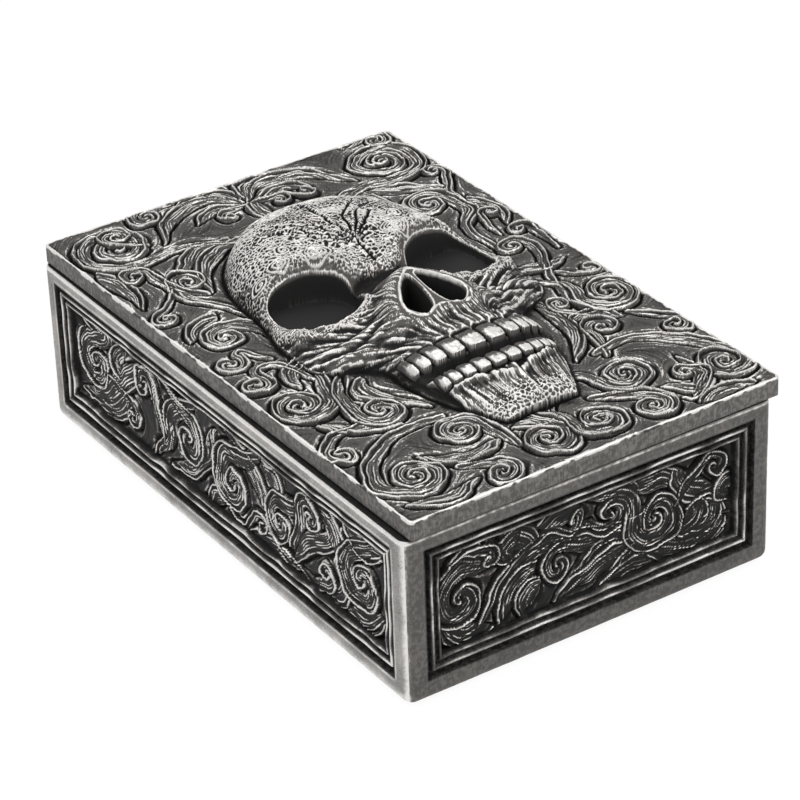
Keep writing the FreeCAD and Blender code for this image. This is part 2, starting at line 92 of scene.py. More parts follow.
# Outlines on one half of the skull, in half widths and half lengths
SOCKET_SHARES = [
    (0.24, 0.115), (0.235, 0.19), (0.29, 0.27), (0.43, 0.335), (0.62, 0.360), (0.78, 0.345),
    (0.85, 0.255), (0.855, 0.12), (0.79, 0.02), (0.61, -0.02), (0.40, -0.01), (0.28, 0.05),
]
NOSTRIL_SHARES = [
    (0.032, -0.040), (0.130, -0.088), (0.212, -0.172), (0.243, -0.240), (0.155, -0.302), (0.058, -0.268),
    (0.018, -0.155),
]
NOSE_SHARES = [
    (0.00, -0.005), (0.060, -0.035), (0.150, -0.090), (0.225, -0.165), (0.266, -0.235), (0.250, -0.280),
    (0.170, -0.322), (0.060, -0.292), (0.00, -0.280), (-0.060, -0.292), (-0.170, -0.322), (-0.250, -0.280),
    (-0.266, -0.235), (-0.225, -0.165), (-0.150, -0.090), (-0.060, -0.035),
]
# Height of the nose's rim at its top and its foot, and how far its sides spread
NOSE_RISE_SHARES = (1.08, 0.80)
NOSE_SPREAD_SHARE = 0.16

# Carved lines of the forehead on one half, and its rings: centre and radius
BROW_LINE_SHARES = [
    [(0.00, 0.86), (0.00, 0.60), (0.00, 0.24)],
    [(0.035, 0.45), (0.09, 0.52), (0.12, 0.60), (0.22, 0.66), (0.34, 0.74)],
    [(0.035, 0.43), (0.13, 0.49), (0.20, 0.56), (0.24, 0.61), (0.34, 0.65), (0.47, 0.68)],
    [(0.035, 0.41), (0.15, 0.46), (0.26, 0.53), (0.34, 0.59)],
    [(0.03, 0.385), (0.10, 0.42), (0.19, 0.44)],
    [(0.03, 0.36), (0.08, 0.39), (0.13, 0.40)],
]
RING_SHARES = [(0.33, 0.385, 0.135), (0.59, 0.43, 0.110), (0.76, 0.42, 0.080), (0.47, 0.52, 0.075)]

# Rows of teeth: half width and height of the arch, the row's two ends along the half length,
# and the angles on the arch at which one tooth ends and the next begins
UPPER_TEETH = (0.56, 0.73, -0.490, -0.626, (0.0, 17.0, 32.0, 46.0, 60.0, 74.0))
LOWER_TEETH = (0.51, 0.62, -0.672, -0.770, (0.0, 14.0, 27.0, 40.0, 53.0, 66.0))
ARCH_CURVE = 0.085

# Scrolls of the lid: centre, radius and turns of the curl (positive winds to the left), and the
# places its stem comes through. Shares of the half width and half length; radius of the half width
LID_SCROLLS = [
    (-0.75, 0.84, 0.215, -2.1, [(-0.18, 0.60), (-0.38, 0.70), (-0.52, 0.72)]),
    (-0.68, 0.90, 0.080, -1.6, [(-0.60, 0.80)]),
    (0.77, 0.82, 0.205, 2.2, [(0.30, 0.64), (0.46, 0.68), (0.56, 0.70)]),
    (-0.47, 0.95, 0.085, 1.6, [(-0.30, 0.99)]),
    (0.88, 0.955, 0.080, -1.5, [(0.70, 0.985)]),
    (-0.13, 0.80, 0.050, 1.3, [(0.00, 0.84)]),
    (0.14, 0.80, 0.055, -1.3, [(0.02, 0.84)]),
    (0.30, 0.80, 0.050, 1.3, [(0.20, 0.86)]),
    (-0.64, 0.52, 0.080, -1.7, [(-0.58, 0.22), (-0.62, 0.32), (-0.72, 0.42)]),
    (-0.82, 0.64, 0.075, 1.5, [(-0.62, 0.42), (-0.72, 0.52)]),
    (-0.90, 0.36, 0.060, 1.4, [(-0.74, 0.52), (-0.82, 0.44)]),
    (0.70, 0.49, 0.105, 1.8, [(0.70, 0.12), (0.70, 0.28), (0.84, 0.38)]),
    (0.91, 0.66, 0.062, 1.2, [(0.88, 0.40), (0.86, 0.52)]),
    (0.88, 0.32, 0.050, -1.5, [(0.80, 0.20)]),
    (0.90, 0.18, 0.055, 1.4, [(0.96, 0.02)]),
    (0.76, 0.10, 0.072, 1.6, [(0.70, -0.22), (0.76, -0.08), (0.85, 0.02)]),
    (-0.77, 0.16, 0.105, 1.5, [(-0.58, 0.02), (-0.60, 0.16)]),
    (-0.90, 0.02, 0.070, -1.4, [(-0.70, -0.02), (-0.80, 0.06)]),
    (-0.92, -0.13, 0.075, -1.4, [(-0.66, -0.20), (-0.72, -0.06), (-0.84, -0.06)]),
    (-0.84, -0.30, 0.135, -2.0, [(-0.60, -0.14), (-0.66, -0.24)]),
    (-0.57, -0.46, 0.110, 1.5, [(-0.58, -0.22), (-0.66, -0.32)]),
    (0.86, -0.30, 0.145, 2.0, [(0.66, -0.12), (0.74, -0.18)]),
    (0.62, -0.28, 0.062, -1.5, [(0.76, -0.42)]),
    (0.94, -0.15, 0.050, 1.3, [(0.78, -0.10)]),
    (0.66, -0.46, 0.090, -1.4, [(0.50, -0.60), (0.56, -0.50)]),
    (0.93, -0.58, 0.075, -1.5, [(0.84, -0.42), (0.90, -0.48)]),
    (-0.93, -0.60, 0.070, 1.4, [(-0.72, -0.48), (-0.86, -0.50)]),
    (-0.77, -0.81, 0.125, 2.0, [(-0.38, -0.58), (-0.66, -0.59), (-0.88, -0.68), (-0.95, -0.80)]),
    (-0.39, -0.69, 0.105, 2.1, [(-0.26, -0.84), (-0.26, -0.74)]),
    (-0.45, -0.94, 0.085, -1.6, [(-0.58, -0.84)]),
    (-0.14, -0.87, 0.130, -1.9, [(0.02, -0.68), (-0.10, -0.72)]),
    (0.14, -0.88, 0.110, 2.0, [(-0.02, -0.76), (0.02, -0.80)]),
    (0.40, -0.91, 0.095, -1.9, [(0.22, -0.76), (0.34, -0.80)]),
    (0.46, -0.72, 0.110, 2.1, [(0.24, -0.62), (0.32, -0.66)]),
    (0.88, -0.83, 0.140, -2.1, [(0.46, -0.57), (0.68, -0.56), (0.88, -0.66)]),
    (0.68, -0.82, 0.080, 1.1, [(0.56, -0.92), (0.60, -0.94)]),
]
# Leaves of the lid: places along each, from its root to its tip
LID_LEAVES = [
    [(0.00, 0.86), (-0.10, 0.93), (-0.26, 0.94), (-0.42, 0.88), (-0.54, 0.78)],
    [(0.02, 0.86), (0.14, 0.94), (0.32, 0.93), (0.46, 0.86), (0.56, 0.76)],
    [(0.00, 0.88), (-0.06, 0.95), (-0.16, 0.985)],
    [(0.02, 0.88), (0.08, 0.95), (0.20, 0.985)],
    [(0.01, 0.85), (0.01, 0.78), (0.02, 0.70)],
    [(-0.02, 0.84), (-0.20, 0.86), (-0.30, 0.82)],
    [(0.04, 0.84), (0.24, 0.87), (0.36, 0.81)],
    [(-0.20, 0.66), (-0.42, 0.62), (-0.56, 0.52), (-0.60, 0.42)],
    [(-0.26, 0.68), (-0.44, 0.67), (-0.58, 0.60), (-0.66, 0.56)],
    [(0.34, 0.70), (0.50, 0.64), (0.58, 0.54)],
    [(0.40, 0.72), (0.60, 0.66), (0.76, 0.60), (0.86, 0.56)],
    [(-0.94, 0.74), (-0.90, 0.56), (-0.94, 0.46)],
    [(-0.70, 0.30), (-0.84, 0.26), (-0.93, 0.20)],
    [(0.90, 0.46), (0.94, 0.32), (0.90, 0.24)],
    [(0.62, -0.02), (0.80, -0.06), (0.92, -0.05)],
    [(-0.58, -0.06), (-0.74, -0.14), (-0.76, -0.22)],
    [(-0.50, -0.26), (-0.56, -0.34), (-0.50, -0.42), (-0.38, -0.52)],
    [(0.52, -0.20), (0.54, -0.32), (0.50, -0.46), (0.36, -0.58)],
    [(0.56, -0.36), (0.72, -0.38), (0.80, -0.44)],
    [(-0.88, -0.42), (-0.76, -0.50), (-0.56, -0.56)],
    [(-0.68, -0.72), (-0.58, -0.80), (-0.44, -0.82), (-0.30, -0.78)],
    [(-0.20, -0.76), (-0.08, -0.78), (0.04, -0.74)],
    [(0.54, -0.84), (0.66, -0.90), (0.74, -0.84), (0.76, -0.72)],
    [(-0.93, -0.92), (-0.72, -0.96), (-0.56, -0.92)],
    [(0.58, -0.97), (0.74, -0.96), (0.90, -0.96)],
]

# Scrolls and leaves of a short and a long side panel, likewise, with the radius of the half height
SHORT_PANEL_SCROLLS = [
    (-0.85, -0.06, 0.64, 1.35, [(-0.66, 0.96), (-0.62, 0.56)]),
    (-0.66, 0.58, 0.22, -1.2, [(-0.92, 0.72), (-0.80, 0.84)]),
    (-0.20, -0.20, 0.36, 1.25, [(0.30, -0.02), (0.12, 0.02), (0.00, 0.06)]),
    (-0.10, 0.64, 0.24, 1.15, [(-0.40, 0.34), (-0.26, 0.60)]),
    (0.15, 0.50, 0.34, 1.25, [(-0.10, 0.28), (0.00, 0.32)]),
    (0.47, -0.04, 0.54, 1.55, [(0.20, 0.80), (0.28, 0.56)]),
    (0.86, 0.58, 0.28, -1.25, [(0.60, 0.06), (0.68, 0.40)]),
]
SHORT_PANEL_LEAVES = [
    [(0.56, 0.30), (0.26, 0.06), (-0.02, 0.14), (-0.28, 0.38), (-0.48, 0.18), (-0.64, -0.36), (-0.76, -0.94)],
    [(-0.34, 0.12), (-0.50, -0.30), (-0.62, -0.94)],
    [(-0.34, -0.26), (-0.44, -0.58), (-0.48, -0.96)],
    [(0.28, -0.12), (0.08, -0.24), (-0.12, -0.58)],
    [(0.44, -0.30), (0.16, -0.44), (-0.04, -0.60), (-0.24, -0.90)],
    [(0.60, -0.50), (0.34, -0.58), (0.10, -0.84)],
    [(0.34, 0.70), (0.16, 0.92), (-0.04, 0.94)],
    [(-0.06, 0.92), (-0.20, 0.88), (-0.36, 0.72)],
    [(0.28, 0.94), (0.42, 0.76), (0.58, 0.66), (0.72, 0.26)],
    [(0.58, 0.86), (0.66, 0.42), (0.78, 0.12), (0.94, 0.02)],
    [(0.68, -0.08), (0.82, -0.16), (0.96, -0.44)],
    [(0.78, 0.02), (0.74, -0.32), (0.62, -0.60)],
    [(0.90, -0.14), (0.84, -0.48), (0.72, -0.70)],
    [(0.96, -0.64), (0.76, -0.80), (0.54, -0.74)],
    [(-0.70, 0.90), (-0.86, 0.74), (-0.98, 0.52)],
    [(-0.98, -0.62), (-0.84, -0.86), (-0.66, -0.96)],
    [(-0.34, 0.48), (-0.44, 0.70), (-0.58, 0.94)],
    [(-0.50, 0.28), (-0.55, 0.60), (-0.44, 0.94)],
    [(0.54, -0.92), (0.26, -0.88), (0.02, -0.97)],
    [(0.40, -0.70), (0.66, -0.93), (0.94, -0.88)],
    [(0.97, 0.30), (0.92, 0.02), (0.97, -0.26)],
]
LONG_PANEL_SCROLLS = [
    (-0.84, 0.08, 0.60, 1.35, [(-0.97, 0.96), (-0.80, 0.86)]),
    (-0.61, -0.52, 0.30, -1.15, [(-0.75, -0.04), (-0.68, -0.10)]),
    (-0.52, 0.42, 0.36, 1.25, [(-0.40, -0.56), (-0.42, -0.04)]),
    (-0.22, 0.00, 0.44, -1.35, [(-0.42, 0.88), (-0.31, 0.62)]),
    (0.06, -0.16, 0.56, 1.55, [(0.22, 0.92), (0.15, 0.60)]),
    (0.22, -0.62, 0.24, -1.15, [(0.03, -0.88), (0.12, -0.92)]),
    (0.36, -0.18, 0.46, 1.35, [(0.52, 0.74), (0.45, 0.38)]),
    (0.55, 0.46, 0.40, -1.25, [(0.42, -0.52), (0.47, 0.04)]),
    (0.63, -0.52, 0.28, 1.15, [(0.46, -0.88), (0.54, -0.92)]),
    (0.85, -0.06, 0.62, 1.45, [(0.99, 0.92), (0.89, 0.82)]),
]
LONG_PANEL_LEAVES = [
    [(-0.50, 0.88), (-0.66, 0.10), (-0.80, -0.60), (-0.98, -0.86)],
    [(-0.60, -0.16), (-0.72, -0.70), (-0.90, -0.96)],
    [(-0.18, 0.88), (-0.34, 0.30), (-0.36, -0.30), (-0.47, -0.92)],
    [(-0.05, 0.66), (-0.10, 0.00), (-0.22, -0.62), (-0.35, -0.88)],
    [(0.02, -0.64), (-0.04, -0.74), (-0.11, -0.94)],
    [(0.27, -0.24), (0.22, 0.30), (0.10, 0.72), (-0.01, 0.94)],
    [(0.37, 0.16), (0.34, 0.56), (0.25, 0.92)],
    [(0.47, -0.90), (0.30, -0.82), (0.15, -0.94)],
    [(0.73, 0.74), (0.66, 0.20), (0.54, -0.12), (0.43, -0.84)],
    [(0.73, 0.06), (0.68, 0.62), (0.59, 0.92)],
    [(0.77, -0.26), (0.70, -0.72), (0.52, -0.94)],
    [(0.97, -0.60), (0.86, -0.82), (0.71, -0.94)],
    [(0.95, 0.64), (0.81, 0.74), (0.75, 0.94)],
    [(-0.66, 0.94), (-0.70, 0.50), (-0.67, 0.10)],
]

# Settings of the carving that no user would change
PATH_STEP_SHARE = 0.45
STROKE_STEPS = 14
CHUNK = 10
NOISE_CELLS = 97
CELL_COUNT = 41
CURL_END_SHARE = 0.10
LEAF_RISE_SHARE = 0.85
WARP_SEED, ECHO_SEED, WEAR_SEED, LEAF_SEED = 11, 23, 37, 100
# How the brush marks of the lid, the walls and the inside are drawn out along X, Y and Z
LID_STREAKS, WALL_STREAKS, INSIDE_STREAKS = (1.0, 1.0, 0.14), (1.0, 1.0, 0.30), (1.0, 1.0, 0.15)
# Walls: name, whether it is a long side, turn in degrees, hand of the scrollwork and seed
WALLS = [
    ("wall_front", False, 0, 1, 41),
    ("wall_right", True, 90, -1, 42),
    ("wall_back", False, 180, -1, 43),
    ("wall_left", True, 270, 1, 44),
]
# Angles in degrees up to which the pieces are shaded smooth, and the name of their flat maps
LID_CREASE, WALL_CREASE, SLAB_CREASE = 60, 55, 35
MAP_NAME = "OFBake"
# Least square of a span's length, and how near two places count as one
TINY = 1e-18
NEAR = 1e-6


def length_value(name, default, description):
    """A length that a user can change."""
    return bpy.props.FloatProperty(
        name=name, description=description, default=default, min=0.0, unit="LENGTH", precision=5
    )


def angle_value(name, degrees, description):
    """An angle that a user can change."""
    return bpy.props.FloatProperty(
        name=name, description=description, default=math.radians(degrees), subtype="ANGLE"
    )


def colour_value(name, default, description):
    """A plain colour."""
    return bpy.props.FloatVectorProperty(
        name=name, description=description, default=default, min=0.0, max=1.0, size=3, subtype="COLOR"
    )


class KeepsakeBodySizes(bpy.types.PropertyGroup):
    """Walls of the body and the framed recess on each side."""

    corner_radius: length_value("Corner radius", 0.003, "Rounding of the upright corners")
    base_radius: length_value("Base radius", 0.0025, "Rounding along the foot of the walls")
    rim_round: length_value("Rim rounding", 0.0006, "Rounding along the top edge of the walls")
    wall: length_value("Wall", 0.0065, "Thickness of the walls")
    cavity_radius: length_value("Inner corner radius", 0.003, "Rounding of the inner corners")
    cavity_fillet: length_value("Inner fillet", 0.0015, "Rounding where the walls meet the floor")
    stile: length_value("Stile", 0.006, "Plain upright beside a recess")
    top_rail: length_value("Top rail", 0.004, "Plain rail over a recess")
    bottom_rail: length_value("Bottom rail", 0.006, "Plain rail under a recess")
    outer_groove: length_value("Outer groove", 0.0015, "Width of the groove next to the rails")
    outer_bead: length_value("Outer bead", 0.0015, "Width of the first bead")
    inner_groove: length_value("Inner groove", 0.0009, "Width of the groove between the beads")
    inner_bead: length_value("Inner bead", 0.0011, "Width of the second bead")
    groove_depth: length_value("Groove depth", 0.0018, "Depth of the grooves behind the face")
    field_depth: length_value("Field depth", 0.0028, "Depth of the carved field behind the face")
    outer_drop: length_value("Outer bead drop", 0.0005, "Crest of the first bead behind the face")
    inner_drop: length_value("Inner bead drop", 0.0009, "Crest of the second bead behind the face")
    felt_radius: length_value("Felt corner radius", 0.005, "Rounding of the base felt's corners")
    lining_radius: length_value("Lining corner radius", 0.003, "Rounding of the floor felt's corners")


class KeepsakeLidSizes(bpy.types.PropertyGroup):
    """Lid plate, its locating rim and the skull."""

    overhang: length_value("Overhang", 0.0002, "How far the lid stands past the body on each side")
    thickness: length_value("Thickness", 0.006, "Thickness of the lid plate")
    corner_radius: length_value("Corner radius", 0.0015, "Rounding of the lid's corners in plan")
    top_round: length_value("Top rounding", 0.0006, "Worn rounding along the top edge")
    under_radius: length_value("Under rounding", 0.001, "Rounding along the lower edge")
    rim_depth: length_value("Rim depth", 0.004, "Depth of the locating rim")
    rim_width: length_value("Rim width", 0.005, "Width of the locating rim")
    rim_chamfer: length_value("Rim chamfer", 0.0008, "Bevel along the foot of the locating rim")
    play: length_value("Play", 0.0025, "Gap between the locating rim and the walls on each side")
    skull_length: length_value("Skull length", 0.122, "Crown to chin")
    skull_width: length_value("Skull width", 0.076, "Across the cheekbones")
    skull_height: length_value("Skull height", 0.0125, "Height unit of the skull above the plate")
    skull_offset: length_value("Skull offset", 0.004, "How far the skull sits towards the chin end")


class KeepsakeCarving(bpy.types.PropertyGroup):
    """Scrollwork and the fine carving of the skull."""

    lid_pitch: length_value("Lid mesh pitch", 0.0002, "Spacing of the mesh on the lid")
    panel_pitch: length_value("Panel mesh pitch", 0.00029, "Spacing of the mesh on the side panels")
    strand: length_value("Strand spacing", 0.00105, "Spacing of the strands in the scrolls")
    lid_rise: length_value("Lid scroll rise", 0.0017, "Height of the lid's scrolls over their ground")
    lid_sink: length_value("Lid ground sink", 0.0006, "Ground of the lid's scrolls under its edge")
    panel_rise: length_value("Panel scroll rise", 0.0020, "Height of the panels' scrolls over the field")
    echo_rise: length_value("Ground rise", 0.0011, "Height of the ground's swell and depth of the moats")
    stroke_rise: length_value("Stroke rise", 0.00022, "Height of the fine strokes along the scrolls")
    echo_reach: length_value("Strand reach", 0.006, "How far the fine strands follow a scroll")
    ribbon: length_value("Ribbon width", 0.0060, "Greatest width of a scroll's ribbon on the lid")
    panel_ribbon: length_value("Panel ribbon width", 0.0080, "Greatest width of a scroll's ribbon on a panel")


class KeepsakePaint(bpy.types.PropertyGroup):
    """Paint of the castings and the colour of the felt."""

    # recess: black paint left in the hollows, also laid on as painted shade beside the ridges
    recess: colour_value("Recess", (0.006, 0.006, 0.006), "Black paint that stays in the recesses")
    ground: colour_value("Ground", (0.090, 0.085, 0.080), "Dark grey of the plain faces")
    brushed: colour_value("Brushed", (0.235, 0.224, 0.214), "Grey where the brush has passed lightly")
    silver: colour_value("Silver", (0.90, 0.885, 0.86), "Silver on the ridges and edges")
    copper: colour_value("Copper", (0.40, 0.25, 0.18), "Warm tint that shows here and there")
    # socket: painted shade laid on the walls and floors of the sunk openings
    socket: colour_value("Socket", (0.022, 0.022, 0.022), "Smooth floor of the eye sockets")
    inside: colour_value("Inside", (0.020, 0.020, 0.020), "Paint inside the box")
    felt: colour_value("Felt", (0.012, 0.012, 0.013), "Felt under the base and on the floor")


class KeepsakeStage(bpy.types.PropertyGroup):
    """Camera, lamps and floor."""

    distance: length_value("Camera distance", 0.974, "From the camera to the middle of the box")
    azimuth: angle_value("Azimuth", -32.83, "Camera's turn about the box")
    elevation: angle_value("Elevation", 30.77, "Camera's height angle")
    roll: angle_value("Roll", -2.16, "Camera's tilt about its own line of sight")
    aim: bpy.props.FloatVectorProperty(
        name="Aim",
        description="Place that the camera looks at",
        default=(0.007, 0.009, 0.020),
        subtype="TRANSLATION",
    )
    lens: bpy.props.FloatProperty(
        name="Lens", description="Focal length in millimetres", default=161.0, min=1.0
    )
    floor_size: length_value("Floor size", 6.0, "Side of the floor")
    floor_colour: colour_value("Floor", (0.86, 0.86, 0.86), "Pale floor")


SETTINGS = {
    "keepsake_body": KeepsakeBodySizes,
    "keepsake_lid": KeepsakeLidSizes,
    "keepsake_carving": KeepsakeCarving,
    "keepsake_paint": KeepsakePaint,
    "keepsake_stage": KeepsakeStage,
}


def smooth_step(low, high, value):
    """Rises smoothly from 0 at low to 1 at high."""
    part = np.clip((value - low) / (high - low), 0, 1)
    return part * part * (3 - 2 * part)


def bell(value):
    """1 at nought, falling smoothly to 0 on both sides."""
    return np.exp(-(value**2))


def soft_noise(x, y, size, seed):
    """Smooth noise from -1 to 1 with bumps of a given size."""
    table = np.random.default_rng(seed).uniform(-1, 1, (NOISE_CELLS, NOISE_CELLS))
    across, along = x / size, y / size
    column, row = np.floor(across).astype(int), np.floor(along).astype(int)
    part_x, part_y = across - column, along - row
    part_x = part_x * part_x * (3 - 2 * part_x)
    part_y = part_y * part_y * (3 - 2 * part_y)
    left, right = column % NOISE_CELLS, (column + 1) % NOISE_CELLS
    low, high = row % NOISE_CELLS, (row + 1) % NOISE_CELLS
    bottom = table[left, low] * (1 - part_x) + table[right, low] * part_x
    top = table[left, high] * (1 - part_x) + table[right, high] * part_x
    return bottom * (1 - part_y) + top * part_y


def cell_joints(places, size, seed):
    """Rounded cells in space: 0 on the joints between them, about 1 in their middles."""
    jitter = np.random.default_rng(seed).uniform(0.12, 0.88, (CELL_COUNT, CELL_COUNT, CELL_COUNT, 3))
    cells = [np.floor(place / size).astype(int) for place in places]
    parts = [place / size - cell for place, cell in zip(places, cells)]
    first = np.full(places[0].shape, 9.0)
    second = np.full(places[0].shape, 9.0)
    for steps in itertools.product((-1, 0, 1), repeat=3):
        middle = jitter[tuple((cell + step) % CELL_COUNT for cell, step in zip(cells, steps))]
        gap = np.sqrt(sum((parts[axis] - steps[axis] - middle[:, axis]) ** 2 for axis in range(3)))
        second = np.minimum(second, np.maximum(first, gap))
        first = np.minimum(first, gap)
    return np.clip((second - first) * 2, 0, 1)


def strand_lines(across, run, spacing, seed):
    """Uneven strands side by side: they wander, swell and die out along their run."""
    wander = soft_noise(across * 0.5, run * 0.30, spacing * 1.6, seed) * 0.40
    lane = across / (spacing * 0.92) + wander
    swell = 0.5 + 0.5 * soft_noise(np.round(lane) * spacing, run * 0.22, spacing, seed + 1)
    return (0.5 + 0.5 * np.cos(2 * math.pi * lane)) ** 1.7 * (0.08 + 0.92 * swell**1.6)


def brush_strokes(turn, steps, seed, grain=0):
    """Strokes along a field of directions, from -1 to 1: noise averaged along each line of the field."""
    noise = np.random.default_rng(seed).random(turn.shape)
    if grain:
        noise = blurred(noise, grain)
    total = noise.copy()
    across, along = np.cos(turn), np.sin(turn)
    top = np.array(turn.shape) - 1
    for way in (1, -1):
        row, column = np.indices(turn.shape).astype(np.float32)
        last_across, last_along = way * across, way * along
        for _ in range(steps):
            column = np.clip(column + last_across, 0, top[1])
            row = np.clip(row + last_along, 0, top[0])
            place = np.rint(row).astype(np.int32), np.rint(column).astype(np.int32)
            total += noise[place]
            next_across, next_along = across[place], along[place]
            hand = np.where(next_across * last_across + next_along * last_along < 0, -1, 1)
            last_across, last_along = hand * next_across, hand * next_along
    return np.clip((total - total.mean()) / (2.2 * total.std()), -1, 1)


def blurred(field, cells):
    """Field averaged over its neighbours, twice in each direction."""
    cells = max(int(cells), 1)
    for axis in (0, 0, 1, 1):
        pad = [(0, 0), (0, 0)]
        pad[axis] = (cells + 1, cells)
        total = np.cumsum(np.pad(field, pad, mode="edge"), axis=axis)
        ahead = np.take(total, range(2 * cells + 1, total.shape[axis]), axis=axis)
        behind = np.take(total, range(0, total.shape[axis] - 2 * cells - 1), axis=axis)
        field = (ahead - behind) / (2 * cells + 1)
    return field


def smooth_path(places, step, closed=False):
    """Closely spaced points on a smooth line through the given places."""
    places = np.asarray(places, float)
    if closed:
        ends = np.vstack([places[-1:], places, places[:2]])
    else:
        ends = np.vstack([2 * places[0] - places[1], places, 2 * places[-1] - places[-2]])
    points = []
    for index in range(1, len(ends) - 2):
        before, first, last, after = ends[index - 1 : index + 3]
        count = max(int(np.hypot(*(last - first)) / step), 2)
        t = np.linspace(0, 1, count, endpoint=False)[:, None]
        bend = (
            2 * first
            + (last - before) * t
            + (2 * before - 5 * first + 4 * last - after) * t**2
            + (3 * first - before - 3 * last + after) * t**3
        )
        points.append(bend / 2)
    if not closed:
        points.append(places[-1:])
    return np.vstack(points)


def scroll_path(centre, radius, turns, stem, step):
    """A stem that runs into a curl, and how many points come before the curl."""
    hand = math.copysign(1, turns)
    last = np.asarray(stem[-1], float)
    offset = last - centre
    reach = max(np.hypot(*offset), radius * 1.001)
    base = math.atan2(offset[1], offset[0])
    swing = math.acos(radius / reach)
    start = base + hand * swing
    count = max(int(abs(turns) * 2 * math.pi * radius / step), 24)
    part = np.linspace(0, 1, count)
    angle = start + hand * 2 * math.pi * abs(turns) * part
    reach = radius * (1 - (1 - CURL_END_SHARE) * part**0.85)
    curl = np.column_stack([centre[0] + reach * np.cos(angle), centre[1] + reach * np.sin(angle)])
    lead = smooth_path(np.vstack([stem, curl[:1], curl[6:7]]), step)
    entry = np.argmin(np.hypot(*(lead - curl[0]).T))
    lead = lead[:entry]
    return np.vstack([lead, curl]), len(lead)


def path_distance(x, y, path, closed=False):
    """Least distance from each place to a run of straight spans."""
    ends = np.vstack([path, path[:1]]) if closed else np.asarray(path, float)
    nearest = np.full(x.shape, np.inf)
    for start, end in zip(ends, ends[1:]):
        span = end - start
        along = ((x - start[0]) * span[0] + (y - start[1]) * span[1]) / max(span @ span, TINY)
        along = np.clip(along, 0, 1)
        nearest = np.minimum(
            nearest, np.hypot(x - start[0] - along * span[0], y - start[1] - along * span[1])
        )
    return nearest


def outline_distance(x, y, outline):
    """Distance to a closed outline, negative inside it."""
    inside = np.zeros(x.shape, bool)
    for start, end in zip(outline, np.roll(outline, -1, axis=0)):
        crosses = (start[1] > y) != (end[1] > y)
        rise = end[1] - start[1] or TINY
        inside ^= crosses & (x < (end[0] - start[0]) * (y - start[1]) / rise + start[0])
    distance = path_distance(x, y, outline, True)
    return np.where(inside, -distance, distance)


